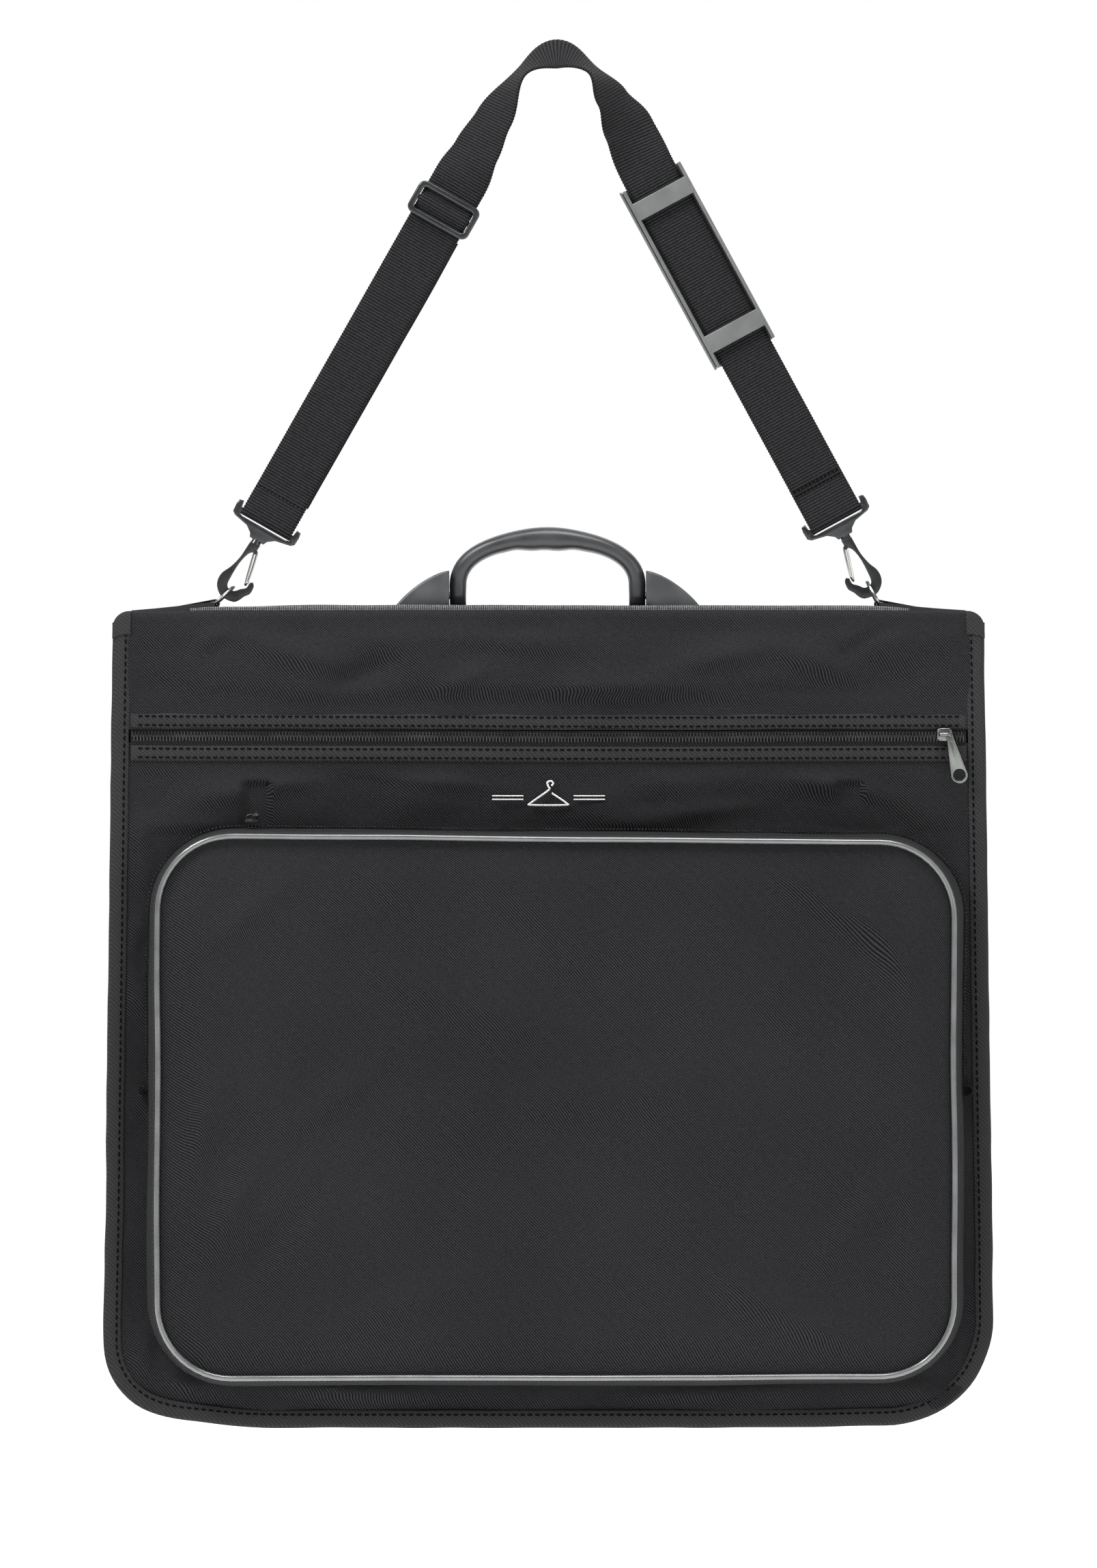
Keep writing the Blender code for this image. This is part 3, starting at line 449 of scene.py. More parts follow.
def crease(x, z, at, angle, length, width, depth):
    # one soft fold: a ridge along a direction that fades at both ends
    turn = math.radians(angle)
    along = (x - at[0]) * math.cos(turn) + (z - at[1]) * math.sin(turn)
    aside = -(x - at[0]) * math.sin(turn) + (z - at[1]) * math.cos(turn)
    if abs(along) > length:
        return 0.0
    return depth * math.exp(-(aside / width) ** 2) * math.cos(math.pi / 2 * along / length) ** 2


# slack of the cloth and its folds: place (x from the middle, z), direction, half length, half width, depth
slackCloth = {
    "slack": 4.0 * mm, "scale": 9.0, "zipGap": 0.4 * mm, "puff": 2.0 * mm, "pressedX": (-202 * mm, 198 * mm),
    "pressedZ": -489 * mm,
    "folds": [((-0.17, -0.405), -14, 0.060, 0.009, 4.0 * mm), ((-0.125, -0.418), 20, 0.045, 0.008, -3.2 * mm),
              ((-0.02, -0.398), -6, 0.070, 0.008, 3.0 * mm), ((0.115, -0.408), 12, 0.060, 0.008, 4.0 * mm),
              ((0.19, -0.415), -20, 0.055, 0.009, 3.8 * mm), ((0.215, -0.395), 35, 0.035, 0.006, -2.8 * mm),
              ((-0.225, -0.392), 40, 0.030, 0.006, 2.6 * mm), ((0.05, -0.430), 4, 0.090, 0.009, 2.6 * mm),
              ((-0.06, -0.425), 30, 0.040, 0.007, 2.4 * mm), ((0.155, -0.432), -4, 0.070, 0.006, -2.2 * mm),
              ((-0.20, -0.497), 10, 0.070, 0.007, 2.8 * mm), ((0.20, -0.495), -12, 0.060, 0.007, 2.6 * mm),
              ((-0.08, -0.490), -5, 0.080, 0.006, 1.8 * mm), ((0.10, -0.512), 6, 0.080, 0.006, 1.8 * mm),
              ((-0.284, -0.640), 84, 0.090, 0.004, 2.4 * mm), ((0.286, -0.700), 94, 0.080, 0.004, 2.4 * mm),
              ((0.10, -0.903), 3, 0.090, 0.005, 2.8 * mm), ((-0.12, -0.902), -3, 0.100, 0.005, 2.6 * mm),
              ((0.262, -0.880), 50, 0.040, 0.006, 4.0 * mm), ((-0.255, -0.885), 130, 0.040, 0.006, 3.2 * mm)],
}
foldStart, foldEnd = (0, -24.0 * mm, bag["foldZ"]), (0, -27.5 * mm, bag["foldZ"] - 14 * mm)


def clothDepth(x, z):
    middle = x - bag["midX"]
    out = slackCloth["slack"] * ripple(middle, z, slackCloth["scale"], 3.1, 2.2)
    out += 0.5 * slackCloth["slack"] * ripple(middle, z, 26.0, 8.4, 1.6)
    for at, angle, length, width, depth in slackCloth["folds"]:
        out += crease(middle, z, at, angle, length, width, depth)
    return out * ease((halfWidth(z) - abs(middle) - 10 * mm) / (14 * mm))


def topEdgeZ(x):
    # the fold's edge dips towards its ends, rounds off at the corners and wavers a little
    away = abs(x - bag["midX"])
    radius = bag["topCorner"]
    into = max(0.0, away - (bag["halfTop"] - radius))
    drop = radius - math.sqrt(max(0.0, radius * radius - into * into))
    return -1.2 * mm * (away / bag["halfTop"]) ** 3 - drop + 0.6 * mm * ripple(x, 0, 16.0, 5.5)


def overFold(side, run, startY, lift=0.0):
    # a point's depth and height on the way from the fold's top round its edge and down
    radius = 4.0 * mm
    edgeY = abs(bag["frontY"]) - 0.2 * mm + lift
    topZ = bag["foldZ"] + lift
    flat = edgeY - startY - radius
    bend = radius * math.pi / 2
    if run < flat:
        return side * (startY + run), topZ, 0.0
    if run < flat + bend:
        turn = (run - flat) / radius
        return side * (edgeY - radius + radius * math.sin(turn)), topZ - radius + radius * math.cos(turn), 0.0
    return side * edgeY, topZ - radius - (run - flat - bend), run - flat - bend


def foldedPanel(side, lowZ, inset, hem=0.0):
    # shape of a panel that starts on the fold's top and comes down over its edge; side is -1 in front
    startY = 13.0 * mm
    total = abs(bag["frontY"]) - 0.2 * mm - startY - 4 * mm + 2 * math.pi * mm + (bag["foldZ"] - 4 * mm
                                                                                  - lowZ)

    def shape(u, v):
        y, z, below = overFold(side, (1 - v) / 2 * total, startY)
        loose = ease(below / (16 * mm)) * ease((z - lowZ - hem) / (16 * mm))
        left, right = rowEnds(z, inset)
        x = left + (right - left) * (u + 1) / 2
        puff = slackCloth["puff"] * max(0.0, 1 - abs(u) ** 6)
        out = (clothDepth(x * -side, z) + puff) * loose
        z += topEdgeZ(x) * ease((z - lowZ) / (40 * mm)) + edgeLift(x, z)
        return Vector((x, y + side * out, z))

    return shape, total


def makeFrontTop():
    lowZ = coilHigh.z + slackCloth["zipGap"]
    shape, total = foldedPanel(-1, lowZ, 2 * mm, 15 * mm)
    piece = finishPiece(gridSheet(240, 60, shape), "frontTopCloth", oxfordCloth, None, ["front_top_panel"])
    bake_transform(piece)
    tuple(foldStart)
    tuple(foldEnd)
    thicken(piece, 1.0 * mm, 1.0)


def makeFrontMain():
    highZ, lowZ = coilLow.z - slackCloth["zipGap"], bag["bottomZ"] + 2 * mm

    def shape(u, v):
        z = lowZ + (highZ - lowZ) * math.sin((v + 1) * math.pi / 4)
        left, right = rowEnds(z, 2 * mm)
        x = left + (right - left) * (u + 1) / 2
        covered = ease((x - gussetLow.x + 2 * mm) / (10 * mm)) * ease((gussetHigh.x + 2 * mm - x) / (10 * mm))
        covered *= ease((z - gussetLow.z + 2 * mm) / (10 * mm)) * ease((gussetHigh.z + 2 * mm
                                                                        - z) / (10 * mm))
        out = clothDepth(x, z) * (1 - covered) * ease((highZ - z
                                                       - 15 * mm) / (14 * mm)) * ease((z - lowZ) / (14 * mm))
        # pressed flat where the pocket's pull swings back against it, at both ends of its run
        pressed = max(ease((12 * mm - abs(x - at)) / (6 * mm)) for at in slackCloth["pressedX"])
        pressed *= ease((slackCloth["pressedZ"] - z) / (6 * mm)) * ease((z - gussetHigh.z
                                                                         + 6 * mm) / (6 * mm))
        out += (-1.0 * mm - out) * pressed
        return Vector((x, bag["frontY"] + 0.2 * mm - max(out, -1.0 * mm), z + edgeLift(x, z)))

    piece = finishPiece(gridSheet(240, 200, shape), "frontMainCloth", oxfordCloth, "front_half",
                        ["front_main_panel"])
    thicken(piece, 1.0 * mm, 1.0)


def makeBack():
    lowZ = bag["bottomZ"] + 2 * mm
    shape, total = foldedPanel(1, lowZ, 2 * mm)
    piece = finishPiece(gridSheet(150, 150, shape), "backCloth", oxfordCloth, None, ["back_panel"])
    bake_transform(piece)
    thicken(piece, 1.0 * mm, 1.0)


def makeFoldTop():
    # the cloth on the board, between the two panels' seams
    def shape(u, v):
        x = bag["midX"] + u * (bag["halfTop"] - 3 * mm)
        return Vector((x, v * 24.5 * mm, spineHigh.z + topEdgeZ(x) * 0.7 - 0.1 * mm))

    piece = finishPiece(gridSheet(160, 12, shape), "foldCloth", oxfordCloth, "fold", ["spine_panel"])
    thicken(piece, 1.0 * mm, 1.0)


makeFrontTop()
makeFrontMain()
makeBack()
makeFoldTop()
print("cloth panels made")


# binding tape: width and thickness, its stitches' pitch and place in from the inner edge, and where it ends
tape = {"wide": 12 * mm, "thick": 1.0 * mm, "pitch": 5.0 * mm, "stitchIn": 3.0 * mm, "waver": 0.5 * mm,
        "topZ": bag["foldZ"] - 10 * mm}


def edgePath(inset, topZ, spacing):
    # down the left side, along the bottom and up the right, seen from the front
    top, turns = halfWidth(topZ) - inset, []
    for side, corner in ((-1, bag["leftCorner"]), (1, bag["rightCorner"])):
        center = (bag["midX"] + side * (bag["halfBottom"] - corner), bag["bottomZ"] + corner)
        turns += arcPoints(center, corner - inset, 180 if side < 0 else 270, 270 if side < 0 else 360, 16)
    line = [Vector((bag["midX"] - top, 0, topZ)), *turns, Vector((bag["midX"] + top, 0, topZ))]
    found = evenPath(line, spacing)
    for point in found:
        inward = (bag["halfBottom"] - abs(point.x - bag["midX"])) / mm
        sway = 0.9 * mm * ripple(point.z, 0, 12.0, 2.6) * ease(inward * -0.05 + 1)
        point += Vector((sway, 0, edgeLift(point.x, point.z)))
    return found


def makeBinding(name, outY, inY, node, body):
    # a rounded U section swept round the edge; outY is the face that shows
    sign = 1 if inY > outY else -1
    wide, thick, depth = tape["wide"], tape["thick"], abs(inY - outY)
    skin = [(wide, 0.0), (wide - 0.4 * mm, -0.35 * mm), (wide * 0.5, -0.55 * mm), (3.0 * mm, -0.5 * mm),
            (1.0 * mm, -0.1 * mm), (0.1 * mm, 1.2 * mm)]
    section = skin + [(-0.3 * mm, depth * 0.5)] + [(reach, depth - step) for reach, step in skin[::-1]]
    section += [(wide, depth - thick), (3.0 * mm, depth - thick), (1.4 * mm, depth - 2.2 * mm)]
    section += [(1.4 * mm, 2.2 * mm), (3.0 * mm, thick), (wide, thick)]
    path = edgePath(0.0, tape["topZ"], 6 * mm)
    rings = []
    for point, along in zip(path, tangents(path)):
        inner = Vector((-along.z, 0, along.x))
        swell = tape["waver"] * ripple(point.x + point.z, point.z, 30.0, 1.7 + sign)
        rings.append([point + inner * (reach + swell) + Vector((0, outY + sign * step, 0)) for reach,
                      step in section])
    bm = bmesh.new()
    extrudeAlong(bm, rings)
    return finishPiece(bm, name, bindingTape, body, [node], 60)


def stitchRow(name, path, normal, material, body, pitch=5.0 * mm, width=0.65 * mm, lift=0.12 * mm):
    # short thread stitches along a path; each sinks at both ends
    points = evenPath(path, pitch)
    bm = bmesh.new()
    for a, b in zip(points, points[1:]):
        bends = ((0.26, -0.2 * mm), (0.34, lift), (0.66, lift), (0.74, -0.2 * mm))
        wire(bm, [a + (b - a) * share + normal * rise for share, rise in bends], width, 5, flat=normal)
    return finishPiece(bm, name, material, body, ())


def makeCornerTape(name, side, end):
    # the binding's end, carried from the front over the fold's corner
    def shape(u, v):
        y, z, below = overFold(side, (1 - v) / 2 * 42 * mm, 0.5 * mm, 1.2 * mm)
        inward = (1 - u) / 2 * (tape["wide"] + 0.4 * mm)
        edge = halfWidth(z) + 0.3 * mm
        x = bag["midX"] + end * (edge - inward)
        drop = topEdgeZ(bag["midX"] + end * (edge - max(inward, 0.8 * mm)))
        y += side * 0.5 * mm * ease(below / (8 * mm))
        return Vector((x, y, z + drop * ease(1 - below / (20 * mm))))

    piece = finishPiece(gridSheet(14, 44, shape), name, bindingTape, None, ())
    start, stop = [(0, -side * point[1], point[2]) for point in (foldStart, foldEnd)]
    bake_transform(piece)
    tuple(start)
    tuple(stop)
    thicken(piece, 0.9 * mm, 0.0)


makeBinding("frontBinding", bindLow.y + 0.5 * mm, bindHigh.y - 0.3 * mm, "front_binding", "front_half")
makeBinding("backBinding", backHigh.y - 0.5 * mm, backLow.y + 0.3 * mm, "back_binding", "back_half")
for label, sign in (("Left", -1), ("Right", 1)):
    makeCornerTape("frontCornerTape" + label, -1, sign)
    makeCornerTape("backCornerTape" + label, 1, sign)
seam = edgePath(tape["wide"] - tape["stitchIn"], tape["topZ"] - 3 * mm, 6 * mm)
for name, y, normal, body in (("front", bindLow.y, Vector((0, -1, 0)), "front_half"),
                              ("back", backHigh.y, Vector((0, 1, 0)), "back_half")):
    row = [point + Vector((0, y, 0)) for point in seam]
    stitchRow(name + "BindingStitches", row, normal, blackThread, body, tape["pitch"])
print("binding made")


# the grey ribbed webbing sewn into each edge of the fold: how far it lies under the seam, how high it stands
edgeWebbing = {"under": 6.0 * mm, "rise": 4.6 * mm, "rib": 1.25 * mm, "wave": 0.7 * mm}


def makeEdgeWebbing(name, side, node):
    low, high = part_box(node)
    under, rise = edgeWebbing["under"], edgeWebbing["rise"]

    def shape(u, v):
        x = (low.x + high.x) / 2 + u * (high.x - low.x) / 2
        run = (v + 1) / 2 * (under + rise)
        up = max(0.0, run - under) / rise
        rib = 0.22 * mm * math.sin(2 * math.pi * x / edgeWebbing["rib"])
        top = up * (rise + edgeWebbing["wave"] * ripple(x, 0, 22.0, 7.7 + side) - 2 * mm * abs(u) ** 12)
        y = side * (21.5 * mm - under + min(run, under) + rib * up)
        return Vector((x, y, bag["foldZ"] - 0.3 * mm + top + topEdgeZ(x) * 0.4))

    piece = finishPiece(gridSheet(1500, 8, shape), name, greyWebbing, "fold", [node], 80)
    thicken(piece, 1.2 * mm, 0.0)


makeEdgeWebbing("edgeWebbingFront", -1, "spine_edge_front")
makeEdgeWebbing("edgeWebbingBack", 1, "spine_edge_back")
print("fold edges made")


# front zip: the coil's pitch, its loops, and the two sewn bands beside it
frontZip = {"pitch": 2.2 * mm, "loop": 0.42 * mm, "rows": (2.3 * mm, 8.3 * mm), "waver": 0.5 * mm}


def zipWaver(x):
    return frontZip["waver"] * ripple(x, 0, 11.0, 6.6) - 0.8 * mm * math.cos(x / 0.19)


def coilRow(bm, start, stop, pitch, point):
    # two rows of little loops that mesh along the middle; point(run, across) gives places on the tape
    count = round((stop - start) / pitch)
    for i in range(count):
        run = start + (i + 0.5) * pitch
        for hand, shift in ((1, 0.0), (-1, 0.5)):
            at = run + shift * pitch
            bends = ((3.1 * mm, 0.2 * mm), (2.3 * mm, 0.9 * mm), (-0.4 * mm, 1.1 * mm), (-1.0 * mm, 0.2 * mm))
            line = [point(at, hand * across, lift) for across, lift in bends]
            wire(bm, line, frontZip["loop"], 5, flat=Vector((1, 0, 0)) if abs(line[0].x - line[2].x) < 1e-4
                 else Vector((0, 0, 1)))


def makeFrontZip():
    midZ = (coilLow.z + coilHigh.z) / 2
    midX, half = (coilLow.x + coilHigh.x) / 2, (coilHigh.x - coilLow.x) / 2
    face = bag["frontY"]

    def tapePoint(u, v):
        x = midX + u * half
        return Vector((x, face + 0.3 * mm, midZ + v * 4.6 * mm + zipWaver(x)))

    backing = finishPiece(gridSheet(160, 4, tapePoint), "zipTape", oxfordCloth, "front_half",
                          ["front_zip_coil"])
    thicken(backing, 0.5 * mm, 0.0)

    def onTape(run, across, lift):
        return Vector((run, face - 0.2 * mm - lift, midZ + across + zipWaver(run)))

    bm = bmesh.new()
    coilRow(bm, midX - half, midX + half - 2 * mm, frontZip["pitch"], onTape)
    finishPiece(bm, "zipCoil", coilNylon, "front_half", ())

    for label, node, away in (("Upper", "front_zip_band_upper", 1), ("Lower", "front_zip_band_lower", -1)):
        low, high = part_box(node)
        middle, wide = (low.z + high.z) / 2, high.z - low.z

        def bandPoint(u, v):
            x = midX + u * half
            bowed = 0.7 * mm * (1 - v * v) + 0.35 * mm * ripple(x, v * 0.02, 40.0, 2.2 + away)
            return Vector((x, low.y + 0.9 * mm - max(bowed, 0.0), middle + v * wide / 2 + zipWaver(x) * 0.9))

        band = finishPiece(gridSheet(220, 8, bandPoint), "zipBand" + label, bindingTape, "front_half", [node])
        thicken(band, 0.7 * mm, 0.0)
        for i, height in enumerate(frontZip["rows"]):
            v = 2 * height / wide - 1
            row = [bandPoint(-0.985 + 1.97 * step / 100, v) + Vector((0, -0.45 * mm, 0))
                   for step in range(101)]
            stitchRow(f"zipBand{label}Stitches{i + 1}", row, Vector((0, -1, 0)), blackThread, "front_half",
                      4.6 * mm)


makeFrontZip()
print("front zip made")


# pocket: the face's bulge, its folds and the piping's waver
pocket = {
    "bulge": 3.6 * mm, "slack": 3.0 * mm, "waver": 1.1 * mm, "piping": 1.9 * mm, "radius": 50 * mm,
          "flare": 9.0 * mm,
    "halfX": 267.2 * mm, "midX": bag["midX"] + 4.8 * mm, "topZ": -530.3 * mm, "bottomZ": -891.3 * mm,
    "folds": [((-0.215, -0.775), 62, 0.060, 0.011, 4.2 * mm), ((-0.190, -0.800), 48, 0.070, 0.010, -3.4 * mm),
              ((-0.235, -0.720), 75, 0.060, 0.010, 3.0 * mm), ((0.225, -0.600), -60, 0.060, 0.011, 3.4 * mm),
              ((0.190, -0.575), -35, 0.070, 0.010, 2.8 * mm), ((-0.205, -0.580), 40, 0.060, 0.010, 3.0 * mm),
              ((-0.10, -0.840), 20, 0.090, 0.012, 3.0 * mm), ((0.16, -0.850), -25, 0.080, 0.012, 3.4 * mm),
              ((0.03, -0.700), 8, 0.110, 0.016, 2.3 * mm), ((-0.06, -0.640), -18, 0.100, 0.014, 2.3 * mm),
              ((-0.15, -0.705), 34, 0.070, 0.010, 2.3 * mm), ((0.20, -0.790), 55, 0.060, 0.011, 2.8 * mm)],
}
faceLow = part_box("pocket_face")[0]


def pocketRim(offset, waver=1.0, steps=14):
    # the pocket's rounded outline, grown by offset, with the sewn edge's small waver
    radius = pocket["radius"] + offset
    left, right = pocket["midX"] - pocket["halfX"] - offset, pocket["midX"] + pocket["halfX"] + offset
    low, high = pocket["bottomZ"] - offset, pocket["topZ"] + offset
    line = arcPoints((right - radius, high - radius), radius, 0, 90, steps)
    line += arcPoints((left + radius, high - radius), radius, 90, 180, steps)
    line += arcPoints((left + radius, low + radius), radius, 180, 270, steps)
    line += arcPoints((right - radius, low + radius), radius, 270, 360, steps)
    found = evenPath(line, 6 * mm, closed=True)
    center = Vector((pocket["midX"], 0, (low + high) / 2))
    for point in found:
        outward = (point - center).normalized()
        tilt = 2.5 * mm * (point.x - pocket["midX"]) / pocket["halfX"]
        sag = waver * pocket["waver"] * ripple(point.x, point.z, 11.0, 4.2)
        point += outward * sag - Vector((0, 0, tilt * (1 if point.z > center.z else -0.3)))
    return found


def makePocketFace():
    height, width = pocket["topZ"] - pocket["bottomZ"], pocket["halfX"]
    midZ = (pocket["topZ"] + pocket["bottomZ"]) / 2
    front = faceLow.y

    def shape(u, v):
        # rows crowd towards the ends, where the round corners need them
        z = midZ + math.sin(v * math.pi / 2) * (height / 2 - 1.2 * mm)
        inset = pocket["radius"] - (height / 2 - abs(z - midZ))
        half = width - 1.2 * mm
        if inset > 0:
            half -= pocket["radius"] - math.sqrt(max(0.0, pocket["radius"] ** 2 - inset ** 2))
        x = pocket["midX"] + u * half
        tilt = 2.5 * mm * (x - pocket["midX"]) / width * (1 if z > midZ else
                                                          -0.3) * abs(z - midZ) / (height / 2)
        sag = pocket["waver"] * ripple(x, z, 11.0, 4.2)
        outward = Vector((x - pocket["midX"], 0,
                          z - midZ)).normalized() if abs(u) + abs(v) > 0.01 else Vector()
        edge = ease(min(half - abs(x - pocket["midX"]), height / 2 - abs(z - midZ)) / (30 * mm))
        out = pocket["bulge"] * edge + pocket["slack"] * edge * ripple(x, z, 9.0, 12.3)
        out += 0.4 * pocket["slack"] * edge * ripple(x, z, 28.0, 15.3)
        for at, angle, length, wide, depth in pocket["folds"]:
            out += crease(x - pocket["midX"], z, at, angle, length, wide, depth) * edge
        return Vector((x, front + 0.6 * mm - out, z - tilt)) + outward * sag * (1 - edge)

    piece = finishPiece(gridSheet(220, 170, shape), "pocketFace", oxfordCloth, "front_half", ["pocket_face"])
    thicken(piece, 1.0 * mm, 1.0)


def pocketFlare(point):
    # how far the gusset stands out past the rim at the bag's face; less along the top
    high = max(0.0, (point.z - pocket["topZ"] + 30 * mm) / (30 * mm))
    return pocket["flare"] * (0.85 + 0.2 * ripple(point.x, point.z, 8.0, 9.9)) * (1 - 0.25 * min(1.0, high))


def makePocketEdge():
    front, base = faceLow.y, gussetHigh.y
    rim = pocketRim(0.0)
    way = tangents(rim, closed=True)
    bm = bmesh.new()
    rings = []
    for point, along in zip(rim, way):
        outward = Vector((along.z, 0, -along.x))
        flare = pocketFlare(point)
        section = []
        for share in (0.0, 0.06, 0.15, 0.3, 0.45, 0.6, 0.75, 0.9, 1.0):
            belly = 1.6 * mm * math.sin(math.pi * share) * (1 + ripple(point.x + share, point.z, 20.0, 3.9))
            depth = Vector((0, front + (base - front) * share, 0))
            section.append(point + outward * (flare * share + belly - 0.3 * mm) + depth)
        rings.append(section)
    extrudeAlong(bm, rings, closedRing=False, closedPath=True)
    gusset = finishPiece(bm, "pocketGusset", oxfordCloth, "front_half", ["pocket_gusset"], 60)
    thicken(gusset, 0.8 * mm, -1.0)

    # the piping's round cord, and its flange sewn in the seam
    bm = bmesh.new()
    line = []
    for point in rim:
        wobble = 0.35 * mm * ripple(point.x, point.z, 45.0, 8.8)
        line.append(point + Vector((0, front - pocket["piping"] + 0.3 * mm + wobble, 0)))
    wire(bm, line, pocket["piping"], 12, closed=True)
    finishPiece(bm, "pocketPiping", pipingVinyl, "front_half", ["pocket_piping"])
    bm = bmesh.new()
    rings = []
    for point, along in zip(rim, way):
        outward = Vector((along.z, 0, -along.x))
        start = point + Vector((0, front - 0.9 * mm, 0))
        rings.append([start + outward * reach + Vector((0, depth, 0)) for reach, depth in
                      ((0.6 * mm, 0.2 * mm), (2.2 * mm, -0.1 * mm), (3.0 * mm, 0.5 * mm),
                       (3.1 * mm, 1.6 * mm), (0.8 * mm, 1.6 * mm))])
    extrudeAlong(bm, rings, closedPath=True)
    finishPiece(bm, "pocketPipingFlange", bindingTape, "front_half", ())


makePocketFace()
makePocketEdge()
print("pocket made")


# the webbing of the strap: the line it hangs in (x, z from the hang point) and how its face turns about it
strap = {
    "wide": 38 * mm, "thick": 1.4 * mm, "rib": 2.0 * mm, "scallop": 0.45 * mm,
    "line": [(-195.5, -316.4), (-136.8, -212.7), (-76.2, -105.7), (-63.4, -83.1), (-52.8, -63.2),
             (-42.9, -44.8), (-23.8, -12.5), (0, 0), (22.8, -9.5), (37.2, -29.0), (49.2, -51.0),
             (62.6, -80.7), (96.2, -142.6), (140.0, -223.5), (188.5, -313.0)],
    "leftTurn": ((0, 57), (27, 78), (64, 48), (88, 34), (116, 0)),
    "rightTurn": ((0, 57), (27, 78), (50, 55), (74, 25), (102, 0)),
}
strapLine = [Vector((x * mm, 0, z * mm)) for x, z in strap["line"]]
legs = {}
for label, sign, bar, beside in (("left", -1, strapLine[0], strapLine[1]),
                                 ("right", 1, strapLine[-1], strapLine[-2])):
    up = (beside - bar).normalized()
    across = Vector((up.z, 0, -up.x))
    place = Matrix.Translation(bar) @ Matrix((across, Vector((0, 1, 0)), up)).transposed().to_4x4()
    lean = math.radians(26 if sign < 0 else 22)
    down = Vector((sign * math.sin(lean), 0, -math.cos(lean)))
    gateWay = Vector((down.z, 0, -down.x)) * sign
    hookPlace = Matrix((gateWay, Vector((0, 1, 0)), down)).transposed().to_4x4()
    legs[label] = {"sign": sign, "bar": bar, "up": up, "across": across, "place": place,
                   "hook": Matrix.Translation(bar - up * 12.5 * mm) @ hookPlace}


def makeWebbing(name, stations, wide, thick, body, nodes=(), columns=10, spacing=0.5 * mm):
    # a ribbon through (point, width direction) stations, with scalloped edges and its measure along and across
    lengths = [0.0]
    for (a, _), (b, _) in zip(stations, stations[1:]):
        lengths.append(lengths[-1] + (b - a).length)
    total, count = lengths[-1], max(4, round(lengths[-1] / spacing))
    frames, at = [], 0
    for i in range(count + 1):
        run = min(total * i / count, total - 1e-9)
        while lengths[at + 1] < run:
            at += 1
        share = (run - lengths[at]) / (lengths[at + 1] - lengths[at])
        (a, wayA), (b, wayB) = stations[at], stations[at + 1]
        frames.append((a.lerp(b, share), wayA.lerp(wayB, share).normalized(), run))
    bm = bmesh.new()
    bmesh.ops.create_grid(bm, x_segments=columns, y_segments=count, size=1.0)
    alongLayer = bm.verts.layers.float.new("along")
    acrossLayer = bm.verts.layers.float.new("across")
    for vert in bm.verts:
        u, v = vert.co.x, vert.co.y
        point, way, run = frames[round((v + 1) / 2 * count)]
        scallop = strap["scallop"] * (0.5 - 0.5 * math.cos(2 * math.pi * run / strap["rib"]))
        half = wide / 2 - scallop * abs(u) ** 8
        vert.co = point + way * u * half
        vert[alongLayer] = run
        vert[acrossLayer] = u * half
    piece = finishPiece(bm, name, strapWebbing, body, nodes, 70)
    thicken(piece, thick, 0.0)
    return piece


def turnedBy(distance, table):
    for (near, low), (far, high) in zip(table, table[1:]):
        if distance <= far * mm:
            return math.radians(low + (high - low) * ease((distance / mm - near) / (far - near)))
    return 0.0


def endTurn(leg, back):
    # from behind the leg, down round the loop's bar and up in front
    reach = 3.1 * mm
    path = [(back, 2.0 * mm), (12 * mm, 2.4 * mm), (6 * mm, 3.0 * mm)]
    path += [(-reach * math.sin(math.radians(t)), reach * math.cos(math.radians(t)))
             for t in range(0, 181, 12)]
    path += [(6 * mm, -2.6 * mm), (12 * mm, -1.6 * mm), (19 * mm, -0.5 * mm), (26 * mm, 0.0)]
    smooth = smoothPath([(0, y, up) for up, y in path], 3)
    return [(leg["bar"] + leg["up"] * p.z + Vector((0, p.y, 0)), -leg["sign"] * leg["across"])
            for p in smooth]


